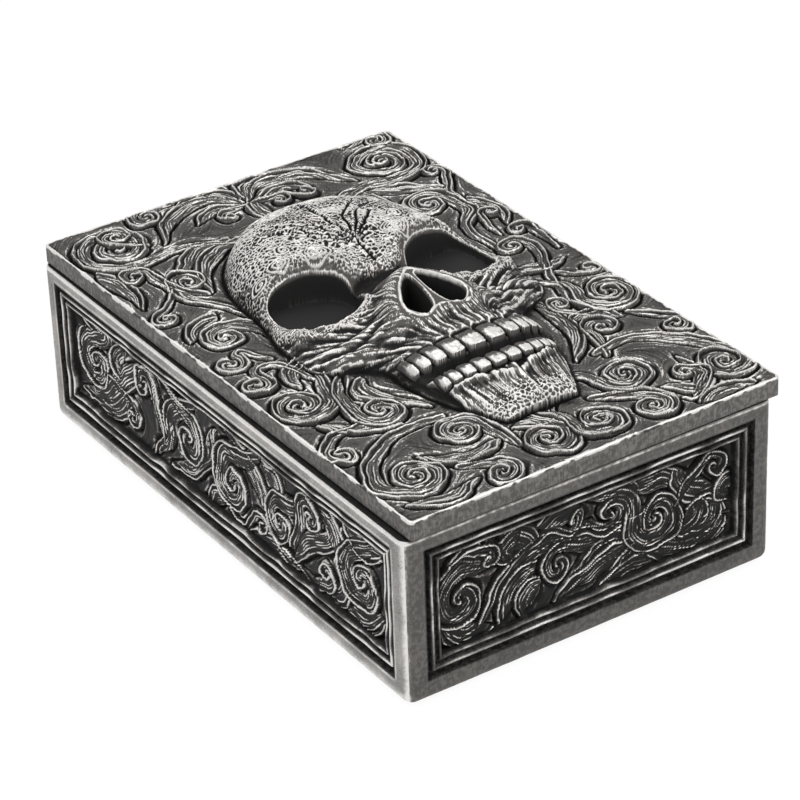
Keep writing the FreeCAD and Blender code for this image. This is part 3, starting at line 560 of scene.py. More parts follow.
class CarvedField:
    """A flat field on which ribbons of strands are laid."""

    def __init__(self, columns, rows, carving, ribbon, seed):
        self.columns, self.rows = columns, rows
        self.ribbon = ribbon
        self.carving = carving
        self.seed = seed
        flat_x, flat_y = np.meshgrid(columns, rows)
        broad, fine = carving.strand * 7, carving.strand * 2.4
        self.x = flat_x + soft_noise(flat_x, flat_y, broad, seed) * carving.strand * 0.90
        self.x += soft_noise(flat_x, flat_y, fine, seed + 1) * carving.strand * 0.26
        self.y = flat_y + soft_noise(flat_x, flat_y, broad, seed + 2) * carving.strand * 0.90
        self.y += soft_noise(flat_x, flat_y, fine, seed + 3) * carving.strand * 0.26
        self.height = np.zeros(flat_x.shape)
        self.edge = np.full(flat_x.shape, np.inf)
        self.turn = np.full(flat_x.shape, math.pi / 2)

    def window(self, low, high):
        """Slices of the rows and columns between two corners."""
        rows = slice(*np.searchsorted(self.rows, (low[1], high[1])))
        columns = slice(*np.searchsorted(self.columns, (low[0], high[0])))
        return rows, columns

    def lay(self, path, half_width, rise, hand, seed):
        """Lays one ribbon: a bold ridge along its outer edge and finer strands inside it."""
        strand = self.carving.strand
        reach = half_width.max() + self.carving.echo_reach * 1.6 + strand
        rows, columns = self.window(path.min(axis=0) - reach, path.max(axis=0) + reach)
        shape = self.height[rows, columns].shape
        if not all(shape):
            return
        nearest, side, along = np.full(shape, np.inf), np.zeros(shape), np.zeros(shape)
        heading = np.zeros(shape)
        for start in range(0, len(path) - 1, CHUNK):
            piece = path[start : start + CHUNK + 1]
            near_rows, near_columns = self.window(piece.min(axis=0) - reach, piece.max(axis=0) + reach)
            x, y = self.x[near_rows, near_columns], self.y[near_rows, near_columns]
            local = (
                slice(near_rows.start - rows.start, near_rows.stop - rows.start),
                slice(near_columns.start - columns.start, near_columns.stop - columns.start),
            )
            for index, (first, last) in enumerate(zip(piece, piece[1:])):
                span = last - first
                gap_x, gap_y = x - first[0], y - first[1]
                part = np.clip((gap_x * span[0] + gap_y * span[1]) / max(span @ span, TINY), 0, 1)
                distance = np.hypot(gap_x - part * span[0], gap_y - part * span[1])
                closer = distance < nearest[local]
                nearest[local] = np.where(closer, distance, nearest[local])
                side[local] = np.where(closer, np.sign(span[0] * gap_y - span[1] * gap_x), side[local])
                along[local] = np.where(closer, start + index + part, along[local])
                heading[local] = np.where(closer, math.atan2(span[1], span[0]), heading[local])
        order = np.arange(len(path))
        width = np.interp(along, order, half_width)
        lift = np.interp(along, order, rise)
        run = along * strand * PATH_STEP_SHARE + seed * strand * 31
        outward = -hand * side * nearest
        inset = width - outward
        crest = strand * 0.62
        swell = 0.72 + 0.38 * soft_noise(inset * 0, run, strand * 4, self.seed + 4)
        stout = strand * (0.30 + 0.14 * soft_noise(inset * 0, run, strand * 9, self.seed + 6))
        bold = swell * bell((inset - crest) / stout)
        lane = strand_lines(inset - crest, run, strand * 0.78, self.seed + 5)
        bed = 0.10 + 0.20 * np.clip(1 - inset / (2 * width + strand), 0, 1)
        form = np.maximum(bold, bed + (0.30 + 0.30 * np.exp(-np.maximum(inset, 0) / (3 * strand))) * lane)
        form -= 0.45 * bell((inset - crest - strand * 0.80) / (strand * 0.30))
        form *= smooth_step(-strand * 0.15, strand * 0.80, width - nearest)
        height = self.height[rows, columns]
        inside = nearest < width + strand * 0.15
        self.height[rows, columns] = np.where(inside, np.maximum(height * 0.55, lift * form), height)
        edge = self.edge[rows, columns]
        closer = inside | (nearest - width < edge)
        self.edge[rows, columns] = np.minimum(nearest - width, edge)
        self.turn[rows, columns] = np.where(closer, heading, self.turn[rows, columns])

    def add_scroll(self, centre, radius, turns, stem, seed, rise):
        """Lays a curl with its stem."""
        step = self.carving.strand * PATH_STEP_SHARE
        path, entry = scroll_path(np.asarray(centre), radius, turns, np.asarray(stem), step)
        widest = min(self.ribbon / 2, radius * 0.52)
        order = np.arange(len(path))
        lead = np.clip(order / max(entry, 1), 0, 1)
        curl = np.clip((order - entry) / max(len(path) - entry - 1, 1), 0, 1)
        half_width = widest * (0.30 + 0.70 * lead**0.7) * (1 - 0.70 * curl)
        lift = rise * (0.45 + 0.55 * lead) * (1 - 0.20 * curl)
        self.lay(path, half_width, lift, math.copysign(1, turns), seed)

    def add_leaf(self, places, seed, rise):
        """Lays a leaf that tapers to both ends."""
        path = smooth_path(places, self.carving.strand * PATH_STEP_SHARE)
        part = np.linspace(0, 1, len(path))
        swell = np.sin(math.pi * part**0.8) ** 0.8
        spans = np.diff(np.asarray(places, float), axis=0)
        turn = spans[0][0] * spans[-1][1] - spans[0][1] * spans[-1][0]
        half_width = self.ribbon / 2 * (0.12 + 0.80 * swell)
        self.lay(path, half_width, rise * (0.60 + 0.50 * swell), math.copysign(1, turn), seed)

    def directions(self, cells):
        """Directions in which the ribbons run, evened out where they meet."""
        across, along = (blurred(part(2 * self.turn), cells) for part in (np.cos, np.sin))
        return np.arctan2(along, across) / 2

    def finish(self, strokes):
        """Heights with fine strokes over ribbons and ground, and a moat beside each ribbon."""
        carving, strand = self.carving, self.carving.strand
        gap = np.where(np.isfinite(self.edge), self.edge, carving.echo_reach * 4)
        bare = smooth_step(-0.45, 0.15, soft_noise(self.x, self.y, strand * 8, self.seed + ECHO_SEED + 1))
        echo = np.exp(-np.maximum(gap, 0) / carving.echo_reach) * (0.30 + 0.70 * bare)
        moat = -carving.echo_rise * 0.8 * bell(gap / (strand * 0.75)) * (gap > 0)
        swell = carving.echo_rise * 0.5 * echo * (gap > 0) * (1 - bell(gap / strand))
        fade = np.where(gap > 0, 0.45 + 0.5 * echo, 1)
        return self.height + moat + swell + strokes * carving.stroke_rise * fade


def lay_scrolls(field, scrolls, leaves, half_width, half_length, radius_unit, rise):
    """Lays a list of leaves and scrolls on a field."""
    scale = np.array([half_width, half_length])
    for number, places in enumerate(leaves):
        field.add_leaf(np.asarray(places) * scale, LEAF_SEED + number, rise * LEAF_RISE_SHARE)
    for number, (x, y, radius, turns, stem) in enumerate(scrolls):
        field.add_scroll(
            np.array([x, y]) * scale, radius * radius_unit, turns, np.asarray(stem) * scale, number, rise
        )


def section_values(place, column):
    """Values of the section table at places along the skull, by cubic spans."""
    table = np.array(SECTION_SHARES)[::-1]
    where = np.clip(np.searchsorted(table[:, 0], place, side="right") - 1, 0, len(table) - 2)
    before, after = np.maximum(where - 1, 0), np.minimum(where + 2, len(table) - 1)
    start, end = table[where, 0], table[where + 1, 0]
    span = end - start
    first, last = table[where, column], table[where + 1, column]
    first_slope = (last - table[before, column]) / (end - table[before, 0]) * span
    last_slope = (table[after, column] - first) / (table[after, 0] - start) * span
    t = np.clip((place - start) / span, 0, 1)
    value = (2 * t**3 - 3 * t**2 + 1) * first + (t**3 - 2 * t**2 + t) * first_slope
    return value + (3 * t**2 - 2 * t**3) * last + (t**3 - t**2) * last_slope


class SkullRelief:
    """The skull as heights over the lid plate, on the lid's own mesh."""

    def __init__(self, x, y, lid, carving):
        self.lid, self.carving = lid, carving
        self.half_width, self.half_length = lid.skull_width / 2, lid.skull_length / 2
        self.unit = lid.skull_height
        self.x, self.y = x, y + lid.skull_offset
        self.side = np.abs(self.x)
        self.across, self.along = self.side / self.half_width, self.y / self.half_length
        reach = section_values(self.along, 1)
        self.part = np.clip(self.across / np.maximum(reach, 0.05), 0, 1)
        self.inside = (self.across < reach) & (np.abs(self.along) < 1)
        gap = np.minimum((reach - self.across) * self.half_width, (1 - np.abs(self.along)) * self.half_length)
        self.edge = -gap
        # smooth: places kept smooth and dark, black paint in pits and grooves and painted shade in the
        # openings
        self.smooth = np.zeros(x.shape)
        self.bright = np.zeros(x.shape)
        self.worn = np.ones(x.shape)
        self.sunk = np.zeros(x.shape)
        face = smooth_step(-0.44, -0.34, self.along) * (1 - smooth_step(-0.06, 0.10, self.along))
        self.moat = 1 - 0.85 * face
        self.large = self.form()
        self.height = self.large.copy()
        outline = smooth_path(self.places(SOCKET_SHARES), carving.strand * 1.2, True)
        self.rim = outline_distance(self.side, self.y, outline) / carving.strand
        self.large -= carving.strand * 3 * np.exp(-(np.maximum(self.rim, 0) ** 2) / 4)

    def places(self, shares):
        """Shares of the half skull as places."""
        return np.asarray(shares) * (self.half_width, self.half_length)

    def noise(self, strands, seed):
        """Smooth noise with bumps of so many strands."""
        return soft_noise(self.x, self.y, self.carving.strand * strands, seed)

    def shine(self, amount):
        """Lays on silver where there is less of it."""
        self.bright = np.maximum(self.bright, amount)

    def paint_black_and_shade(self, amount):
        """Keeps places smooth and black: black paint in the pits and grooves, painted shade in the openings,
        the brow's notch and round the teeth.
        """
        self.smooth = np.maximum(self.smooth, amount)

    def form(self):
        """Large forms: sections, ridges and folds."""
        flat, rounded = (
            sum(share * self.part**power for power, share in shares.items())
            for shares in (FLAT_FALL, ROUND_FALL)
        )
        fall = flat + (rounded - flat) * np.clip(section_values(self.along, 3), 0, 1)
        height = section_values(self.along, 2) * (1 - fall)
        for lift, spread, path in RIDGE_SHARES + FOLD_SHARES:
            distance = path_distance(self.side, self.y, self.places(path)) / (spread * self.half_width)
            height += lift * (1 - self.part**8) * bell(distance)
        return np.where(self.inside, height * self.unit, 0)

    def flow(self):
        """Directions of the strokes: in from the cheekbones to the mouth, and down the jaw and chin."""
        hand = np.where(self.x < 0, -1, 1)
        lean = self.noise(8, 9) * 0.5
        cheek = np.arctan2(0.55 + lean, hand)
        jaw = math.pi / 2 - 0.6 * hand * np.clip(self.across, 0, 1) + lean * 0.5
        down = np.maximum(1 - smooth_step(-0.46, -0.34, self.along), 1 - smooth_step(0.24, 0.36, self.across))
        across, along = (part(2 * cheek) * (1 - down) + part(2 * jaw) * down for part in (np.cos, np.sin))
        return np.arctan2(along, across) / 2

    def lace(self, size, seed):
        """Raised lace round small pits: about 1 on the threads, 0 in the pits."""
        strand = self.carving.strand
        x, y = self.x[self.inside], self.y[self.inside]
        bent_x = x + soft_noise(x, y, strand * 1.8, seed + 20) * strand * 0.55
        bent_y = y + soft_noise(x, y, strand * 1.8, seed + 21) * strand * 0.55
        threads = np.zeros(self.x.shape)
        joints = cell_joints((bent_x, bent_y, self.large[self.inside]), strand * size, seed)
        threads[self.inside] = 1 - smooth_step(0.03, 0.52, joints)
        return threads

    def carve_forehead(self):
        """Lace of fine pits, rings and the lines that spread from the middle."""
        strand = self.carving.strand
        bent_x = self.x + self.noise(2.5, 17) * strand * 0.5
        bent_y = self.y + self.noise(2.5, 18) * strand * 0.5
        crown = smooth_step(0.16, 0.30, self.along)
        worn = 0.25 + 0.75 * smooth_step(-0.5, 0.4, self.noise(5, 6))
        worn *= 1 - 0.45 * smooth_step(0.55, 1.0, self.part)
        rings = np.zeros(self.x.shape)
        for x_share, y_share, radius_share in RING_SHARES:
            centre = self.places((x_share, y_share))
            radius = radius_share * self.half_width
            distance = np.hypot(np.abs(bent_x) - centre[0], bent_y - centre[1])
            turn = np.arctan2(self.y - centre[1], self.side - centre[0]) / (2 * math.pi)
            waves = np.cos(2 * math.pi * (distance / (strand * 1.0) - turn))
            mask = 1 - smooth_step(radius * 0.70, radius, distance)
            rings = np.maximum(rings, mask)
            self.height += mask * waves * strand * 0.32
            self.shine(mask * (0.70 * smooth_step(0.0, 0.9, waves)))
        crown *= 0.35 + 0.65 * smooth_step(0.2, 1.6, self.rim)
        threads = self.lace(1.25, 5)
        self.height += crown * (0.2 + 0.8 * worn) * (1 - 0.8 * rings) * (threads - 0.5) * strand * 0.62
        silver = (0.02 + 0.52 * worn) * threads**1.5
        self.shine(crown * silver * (1 - 0.7 * rings))
        pits = (1 - smooth_step(0.15, 0.60, threads)) * (1 - rings)
        self.paint_black_and_shade((1.0 - 0.35 * worn) * crown * pits)
        for path in BROW_LINE_SHARES:
            line = smooth_path(self.places(path), strand)
            distance = path_distance(np.abs(bent_x), bent_y, line) / (strand * 0.38)
            shoulder = np.exp(-((distance / 2.2 - 1) ** 2) * 4) * 0.30
            groove = bell(distance)
            self.height += (shoulder - groove) * strand * 0.80
            self.bright *= 1 - groove
            self.paint_black_and_shade(0.85 * groove)

    def carve_brow(self):
        """Knotted texture along the brows and the cheekbones, and painted shade in the notch between the
        brows.
        """
        strand = self.carving.strand
        # painted shade under the brow, along the notch over the nose
        notch = path_distance(self.side, self.y, self.places(FOLD_SHARES[0][2])) / (strand * 1.9)
        self.paint_black_and_shade(0.9 * bell(notch))
        for _, spread, path in RIDGE_SHARES[:3]:
            distance = path_distance(self.side, self.y, self.places(path)) / (spread * self.half_width)
            mask = bell(distance * 1.5)
            threads = self.lace(0.95, 8)
            self.height += mask * (threads - 0.5) * strand * 0.42
            self.shine(mask**2 * 0.50 * threads**1.6)
        knots = np.clip(0.5 + 0.7 * self.noise(1.6, 42), 0, 1)
        ring = bell((self.rim - 0.55 - 0.35 * knots) / 0.35) * (0.35 + 0.65 * knots)
        ring *= 0.35 + 0.65 * self.lace(0.75, 43)
        self.height += ring * strand * 0.34
        self.shine(ring * 0.55)

    def carve_cheeks(self, strokes, folds):
        """Folds and strokes of the cheeks, the upper jaw and the chin."""
        strand = self.carving.strand
        patches = 0.5 + 0.5 * self.noise(4, 31)
        face = 1 - smooth_step(-0.02, 0.12, self.along)
        chin = 1 - smooth_step(-0.83, -0.79, self.along)
        self.height += face * (strokes * strand * 0.22 + folds * strand * (0.80 - 0.55 * chin))
        lip = smooth_step(-0.52, -0.46, self.along) * (1 - smooth_step(-0.40, -0.32, self.along))
        silver = 0.12 * patches + 0.30 * lip * patches
        crests = smooth_step(-0.2, 0.7, strokes) * smooth_step(-0.3, 0.5, folds)
        self.shine(face * silver * crests)
        pits = self.lace(1.2, 13)
        low = 1 - smooth_step(-0.98, -0.84, self.along)
        self.height += chin * low * (pits - 0.5) * strand * 0.40
        pale = 0.08 + 0.22 * patches + 0.40 * strokes * (1 - low) + 0.40 * (pits - 0.4) * low
        self.shine(chin * pale * smooth_step(0.0, 0.10, 1 - self.part))

    def sink(self, outline_shares, floor, lip, lip_width, wall):
        """Sinks an opening with steep walls, its rim rounded down by a share of the height."""
        outline = smooth_path(self.places(outline_shares), self.carving.strand * 1.2, True)
        distance = outline_distance(self.side, self.y, outline)
        self.height *= 1 - lip * bell(distance / lip_width)
        opening = 1 - smooth_step(-wall, 0, distance)
        sunk = self.height * (1 - opening) + np.minimum(floor, self.height) * opening
        # sunk records how far each place was cut down; the finish paints shade there
        self.sunk = np.maximum(self.sunk, self.height - sunk)
        self.height = sunk
        return distance

    def carve_openings(self, strokes):
        """Eye sockets, nose and its rim."""
        strand = self.carving.strand
        lip = 0.36 * smooth_step(0.02, 0.20, self.along) - 0.14
        distance = self.sink(SOCKET_SHARES, 0.0, lip, strand * 1.2, strand * 0.6)
        # painted shade inside the eye sockets
        self.paint_black_and_shade(1 - smooth_step(-strand * 0.30, strand * 0.05, distance))
        ring = np.exp(-((distance / strand - 0.45) ** 2) * 6) * (0.20 + 0.50 * self.lace(0.8, 24))
        ring *= smooth_step(0.22, 0.34, self.across) * (1 - smooth_step(0.06, 0.16, self.along))
        self.shine(ring)
        nose = smooth_path(self.places(NOSE_SHARES), strand, True)
        rim = outline_distance(self.x, self.y, nose)
        top, foot = NOSE_SHARES[0][1], NOSE_SHARES[6][1]
        level = np.interp(self.along, (foot, top), NOSE_RISE_SHARES[::-1]) * self.unit
        slope = bell(np.maximum(rim, 0) / (NOSE_SPREAD_SHARE * self.half_width))
        slope *= smooth_step(-0.36, -0.30, self.along) + (1 - smooth_step(-0.36, -0.30, self.along)) * slope
        self.height = np.maximum(self.height, self.height + (level - self.height) * slope)
        self.height += slope * strokes * strand * 0.26 * (rim > 0)
        self.shine(slope * 0.30 * smooth_step(0.1, 0.9, strokes) * (rim > 0))
        knobs = self.noise(1.3, 22)
        thread = bell((rim + strand * (0.20 + 0.18 * knobs)) / (strand * (0.40 + 0.12 * knobs)))
        self.height += thread * strand * (0.45 + 0.25 * knobs)
        self.shine(thread * (0.45 + 0.45 * knobs))
        distance = self.sink(NOSTRIL_SHARES, self.unit * 0.30, 0.0, strand * 0.5, strand * 0.5)
        # painted shade in the nostrils
        self.paint_black_and_shade(1 - smooth_step(-strand * 0.5, 0, distance))

    def carve_teeth(self):
        """Two rows of teeth on the arches of the jaws, with painted shade in the gap between them and round
        their roots.
        """
        strand = self.carving.strand
        before = self.height.copy()
        rough = 0.14 * self.noise(1.4, 29) + 0.12 * self.noise(0.5, 30)
        place = self.along - ARCH_CURVE * (self.across / UPPER_TEETH[0]) ** 2
        upper_start, lower_end = UPPER_TEETH[3], LOWER_TEETH[2]
        gap = smooth_step(lower_end - 0.014, lower_end + 0.006, place)
        gap *= 1 - smooth_step(upper_start - 0.006, upper_start + 0.014, place)
        gap *= 1 - smooth_step(0.54, 0.60, self.across)
        self.height = self.height * (1 - gap) + np.minimum(self.height, self.unit * 0.16) * gap
        # painted shade in the gap between the rows of teeth
        self.paint_black_and_shade(gap)
        for arch, rise, end, start, angles in (UPPER_TEETH, LOWER_TEETH):
            half = arch * self.half_width
            angle = np.degrees(np.arcsin(np.clip(self.side / half, 0, 1)))
            level = rise * self.unit * np.sqrt(np.clip(1 - (self.side / half) ** 2, 0, 1))
            middle, length = (end + start) / 2, (end - start) / 2
            down = (place - middle) / length
            crowns, gums = np.full(self.x.shape, -1.0), np.zeros(self.x.shape)
            for first, last in zip(angles, angles[1:]):
                spread = (last - first) / 2
                over = (angle - (first + last) / 2) / (spread * 0.88)
                bulge = (np.abs(over) ** 4.5 + np.abs(down) ** 4.5) ** (1 / 4.5)
                worn_end = 0.45 * np.clip(down + 0.2, 0, 1.2) ** 2
                crown = level + strand * (0.7 - 0.8 * bulge**7 - worn_end + rough)
                crowns = np.where(bulge < 1, crown, crowns)
                gums = np.maximum(gums, 1 - smooth_step(1.05, 1.30, bulge))
                # each tooth painted lighter towards the chin and darker towards the crown: painted light and
                # shade
                face = (0.72 + 1.2 * rough) * (1 - bulge**6) * (1 - smooth_step(-0.35, 0.45, down))
                self.bright = np.where(bulge < 1.0, face, self.bright)
                self.worn = np.where(bulge < 1.0, 0.40, self.worn)
            bed = np.minimum(self.height, level - strand * 1.5)
            self.height = self.height * (1 - gums) + bed * gums
            # painted shade in the bed round each tooth, none on the teeth
            self.paint_black_and_shade(np.where(crowns > 0, 0, gums * 0.9))
            self.smooth = np.where(crowns > 0, 0, self.smooth)
            self.height = np.maximum(self.height, crowns)
        self.sunk = np.maximum(self.sunk, before - self.height)

    def carve(self, strokes, folds):
        """All the carving, from the large to the small."""
        self.carve_forehead()
        self.carve_brow()
        self.carve_cheeks(strokes, folds)
        self.carve_openings(strokes)
        self.carve_teeth()
        strand = self.carving.strand
        rough = self.noise(0.8, 14) * (1 - self.smooth)
        self.height += rough * strand * 0.06
        self.bright *= self.inside
        self.smooth *= self.inside
        return np.where(self.inside, np.maximum(self.height, 0), 0)


def brush_wear(height, pitch, strand, x, y, seed):
    """How much silver the dry brush leaves on the crests, and how far each place lies out of the black: black
    paint left in the hollows, with painted shade beside the ridges, in the wide hollows and on steep walls.
    """
    over = height - blurred(height, strand * 0.55 / pitch)
    relief = np.sqrt(blurred(over**2, strand * 0.9 / pitch)) + strand * 0.04
    wide = (height - blurred(height, strand * 1.8 / pitch)) / (strand * 0.60)
    crest = over / relief * (0.30 + 0.70 * smooth_step(strand * 0.04, strand * 0.16, relief))
    steep = smooth_step(1.3, 3.2, np.hypot(*np.gradient(height, pitch)))
    lifted = smooth_step(-0.5, 0.8, wide)
    blotch = soft_noise(x, y, strand * 3, seed) * 0.28 + soft_noise(x, y, strand * 0.6, seed + 1) * 0.12
    wear = np.clip(0.95 * crest * (0.55 + 0.45 * lifted) + blotch * smooth_step(0, 0.5, crest), 0, 1.2)
    # depth: black paint of the hollows together with painted shade beside the ridges, in wide hollows and on
    # steep walls
    depth = np.clip(0.45 + 0.26 * crest + 0.40 * wide - 0.25 * steep, 0, 1)
    return wear * (1 - 0.75 * steep), depth


def add_primitive(kind, name, **settings):
    """A named primitive of its own, with nothing else selected."""
    if bpy.context.mode != "OBJECT":
        bpy.ops.object.mode_set(mode="OBJECT")
    bpy.ops.object.select_all(action="DESELECT")
    getattr(bpy.ops.mesh, "primitive_" + kind + "_add")(**settings)
    piece = bpy.context.object
    piece.name = piece.data.name = name
    return piece


def edit_mesh(kind):
    """Enters edit mode with nothing selected."""
    bpy.ops.object.mode_set(mode="EDIT")
    bpy.ops.mesh.select_mode(type=kind)
    bpy.ops.mesh.select_all(action="DESELECT")


def end_edit(angle):
    """Turns all faces outward, leaves edit mode and shades smooth up to an angle in degrees."""
    bpy.ops.mesh.select_all(action="SELECT")
    bpy.ops.mesh.normals_make_consistent(inside=False)
    bpy.ops.object.mode_set(mode="OBJECT")
    bpy.ops.object.shade_smooth_by_angle(angle=math.radians(angle))


def add_block(name, half, levels):
    """A block from its half width, half length, and the levels of its foot and top."""
    piece = add_primitive("cube", name, size=2)
    points = get_points(piece)
    level = np.where(points[:, 2] > 0, levels[1], levels[0])
    set_points(piece, np.column_stack([points[:, 0] * half[0], points[:, 1] * half[1], level]))
    return piece


def add_grid(name, columns, rows):
    """A grid primitive and, for each of its points, the column and row it stands for."""
    piece = add_primitive("grid", name, x_subdivisions=columns - 1, y_subdivisions=rows - 1, size=2)
    flat = get_points(piece)
    column = np.rint((flat[:, 0] + 1) / 2 * (columns - 1)).astype(int)
    row = np.rint((flat[:, 1] + 1) / 2 * (rows - 1)).astype(int)
    return piece, column, row


def set_points(piece, points):
    """Moves all points of a piece."""
    piece.data.vertices.foreach_set("co", np.ascontiguousarray(points, np.float32).ravel())
    piece.data.update()


def get_points(piece):
    """Places of all points of a piece."""
    flat = np.empty(len(piece.data.vertices) * 3, np.float32)
    piece.data.vertices.foreach_get("co", flat)
    return flat.reshape(-1, 3).astype(float)


def set_attribute(piece, name, values):
    """Stores one number for each point of a piece."""
    layer = piece.data.attributes.get(name) or piece.data.attributes.new(name, "FLOAT", "POINT")
    layer.data.foreach_set("value", np.ascontiguousarray(values, np.float32))


def start_map(piece):
    """A new flat map, and the point at each corner of each face."""
    mesh = piece.data
    if mesh.uv_layers:
        mesh.uv_layers.remove(mesh.uv_layers[0])
    corner = np.empty(len(mesh.loops), np.int32)
    mesh.loops.foreach_get("vertex_index", corner)
    return mesh.uv_layers.new(name=MAP_NAME), corner


def spread_map(piece, across, along, cap):
    """A flat map for the carved face, with the plain closing faces in a strip beside it."""
    layer, corner = start_map(piece)
    mesh = piece.data
    sides = np.empty(len(mesh.polygons), np.int32)
    mesh.polygons.foreach_get("loop_total", sides)
    many = np.repeat(sides > 4, sides)
    place = np.column_stack([across[corner] * 0.90, along[corner]])
    closing = np.column_stack([0.93 + 0.06 * cap[corner, 0], cap[corner, 1]])
    place = np.where(many[:, None], closing, place)
    layer.data.foreach_set("uv", np.ascontiguousarray(place, np.float32).ravel())


def finish_piece(piece, material, body, node):
    """Material and body of a finished piece, with the node's imported part hidden."""
    piece.data.materials.clear()
    piece.data.materials.append(material)
    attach(piece, body)
    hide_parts(node)
    piece.select_set(False)


class Sock:
    """A node's output that can stand in Python sums."""

    def __init__(self, finish, socket):
        self.finish, self.socket = finish, socket

    def join(self, operation, first, second):
        return self.finish.node("ShaderNodeMath", {"operation": operation}, {0: first, 1: second})

    def __add__(self, other):
        return self.join("ADD", self, other)

    def __sub__(self, other):
        return self.join("SUBTRACT", self, other)

    def __mul__(self, other):
        return self.join("MULTIPLY", self, other)

    def __rsub__(self, other):
        return self.join("SUBTRACT", other, self)

    __radd__ = __add__
    __rmul__ = __mul__


class Finish:
    """The nodes of a material or of the world, built from expressions."""

    def __init__(self, owner):
        owner.use_nodes = True
        self.owner, self.tree = owner, owner.node_tree
        self.tree.nodes.clear()

    def node(self, kind, settings=None, sockets=None, output=0):
        """Adds a node, sets its settings, then the values or links of its sockets."""
        made = self.tree.nodes.new(kind)
        for key, value in (settings or {}).items():
            setattr(made, key, value)
        for key, value in (sockets or {}).items():
            if isinstance(value, Sock):
                self.tree.links.new(value.socket, made.inputs[key])
            else:
                made.inputs[key].default_value = value
        return Sock(self, made.outputs[output]) if made.outputs else None

    def attribute(self, name):
        return self.node("ShaderNodeAttribute", {"attribute_name": name}, output="Fac")

    def place(self):
        return self.node("ShaderNodeTexCoord", output="Object")

    def noise(self, place, scale, detail=3.0, stretch=(1.0, 1.0, 1.0)):
        """Cloudy noise from 0 to 1, finer with a greater scale, drawn out along an axis by stretch."""
        if stretch != (1.0, 1.0, 1.0):
            place = self.node("ShaderNodeMapping", {}, {"Vector": place, "Scale": stretch})
        return self.node("ShaderNodeTexNoise", {}, {"Vector": place, "Scale": scale, "Detail": detail})

    def ramp(self, value, low, high):
        """Smooth rise from 0 at low to 1 at high."""
        return self.node(
            "ShaderNodeMapRange",
            {"interpolation_type": "SMOOTHSTEP"},
            {"Value": value, "From Min": low, "From Max": high},
        )

    def limit(self, value):
        return self.node("ShaderNodeClamp", {}, {"Value": value})

    def mix(self, first, second, factor):
        """Mix of two colours."""
        colours = [c if isinstance(c, Sock) else (*c[:3], 1.0) for c in (first, second)]
        return self.node(
            "ShaderNodeMix", {"data_type": "RGBA"}, {0: factor, 6: colours[0], 7: colours[1]}, output=2
        )

    def bump(self, height, strength, distance):
        sockets = {"Height": height, "Strength": strength, "Distance": distance}
        return self.node("ShaderNodeBump", {}, sockets, output="Normal")

    def surface(self, **sockets):
        """A material of one Principled shader."""
        names = {key.replace("_", " "): value for key, value in sockets.items()}
        return self.show(self.node("ShaderNodeBsdfPrincipled", {}, names))

    def show(self, shader, kind="ShaderNodeOutputMaterial"):
        """Leads a shader to the output and gives back the material or the world."""
        self.node(kind, {}, {"Surface": shader})
        return self.owner

    def seen_by(self, *rays):
        """1 where one of these kinds of ray looks, by the names of the light path's outputs."""
        return self.limit(sum(self.node("ShaderNodeLightPath", output=ray) for ray in rays))


def once(make):
    """Lets a finish be made once, and found by its name after that."""

    def kept(name, *values):
        return bpy.data.materials.get(name) or make(Finish(bpy.data.materials.new(name)), *values)

    return kept


@once
def casting_finish(finish, paint, streaks):
    """Black cast resin, dry brushed with silver, with painted shade in the hollows and the sunk openings;
    streaks draws the brush out along an axis.
    """
    place = finish.place()
    wear, depth, plain, sunk = (finish.attribute(key) for key in ("wear", "depth", "plain", "sunk"))
    speckle = finish.noise(place, 2600.0, 2.0)
    cloud = finish.noise(place, 90.0, 4.0)
    mottle = finish.noise(place, 800.0, 4.0)
    strokes = finish.noise(place, 2400.0, 3.0, streaks)
    # wall: painted shade, the socket colour laid on the walls and floors of the sunk openings
    wall = finish.ramp(sunk, 0.0004, 0.0016)
    # the recess black laid on by depth: black paint in the hollows, with painted shade beside the ridges
    base = finish.mix(paint.recess, paint.ground, finish.ramp(depth, 0.18, 0.60))
    patchy = strokes + (cloud - 0.5) * 0.5 + (mottle - 0.5) * 1.5
    # brushing of the plain faces, with the painted light that plain carries on the walls' sides
    rubbing_and_painted_light = finish.limit(plain * (0.10 + finish.ramp(patchy, 0.34, 0.76) * 0.74))
    base = finish.mix(base, paint.brushed, rubbing_and_painted_light)
    half = finish.limit(finish.ramp(wear + (speckle - 0.5) * 0.30, 0.08, 0.50) * 0.75)
    base = finish.mix(base, paint.brushed, half)
    bright = finish.ramp(wear + (speckle - 0.5) * 0.24 + (cloud - 0.5) * 0.22, 0.32, 0.68)
    base = finish.mix(base, paint.silver, bright)
    warm = finish.limit(finish.ramp(cloud, 0.54, 0.70) * half * 0.24)
    base = finish.mix(base, paint.copper, warm * (1 - 0.7 * bright))
    base = finish.mix(base, paint.socket, wall)
    rough = 0.56 - bright * 0.14 + (speckle - 0.5) * 0.14
    metal = (bright * 0.35 + half * 0.15) * (1 - wall)
    grain = finish.bump(speckle + strokes * plain, 0.25, 0.00012)
    return finish.surface(
        Base_Color=base, Roughness=rough, Metallic=metal, Specular_IOR_Level=0.25, Normal=grain
    )


@once
def felt_finish(finish, colour):
    """Short felt nap."""
    place = finish.place()
    fibre = finish.noise(place, 1900.0, 4.0)
    cloud = finish.noise(place, 120.0, 3.0)
    pale = tuple(channel * 3.2 + 0.012 for channel in colour)
    base = finish.mix(colour, pale, finish.limit(finish.ramp(fibre, 0.42, 0.78) * 0.7 + (cloud - 0.5) * 0.5))
    nap = finish.bump(fibre + cloud * 0.4, 0.6, 0.0003)
    return finish.surface(Base_Color=base, Roughness=0.95, Sheen_Weight=0.25, Sheen_Roughness=0.5, Normal=nap)


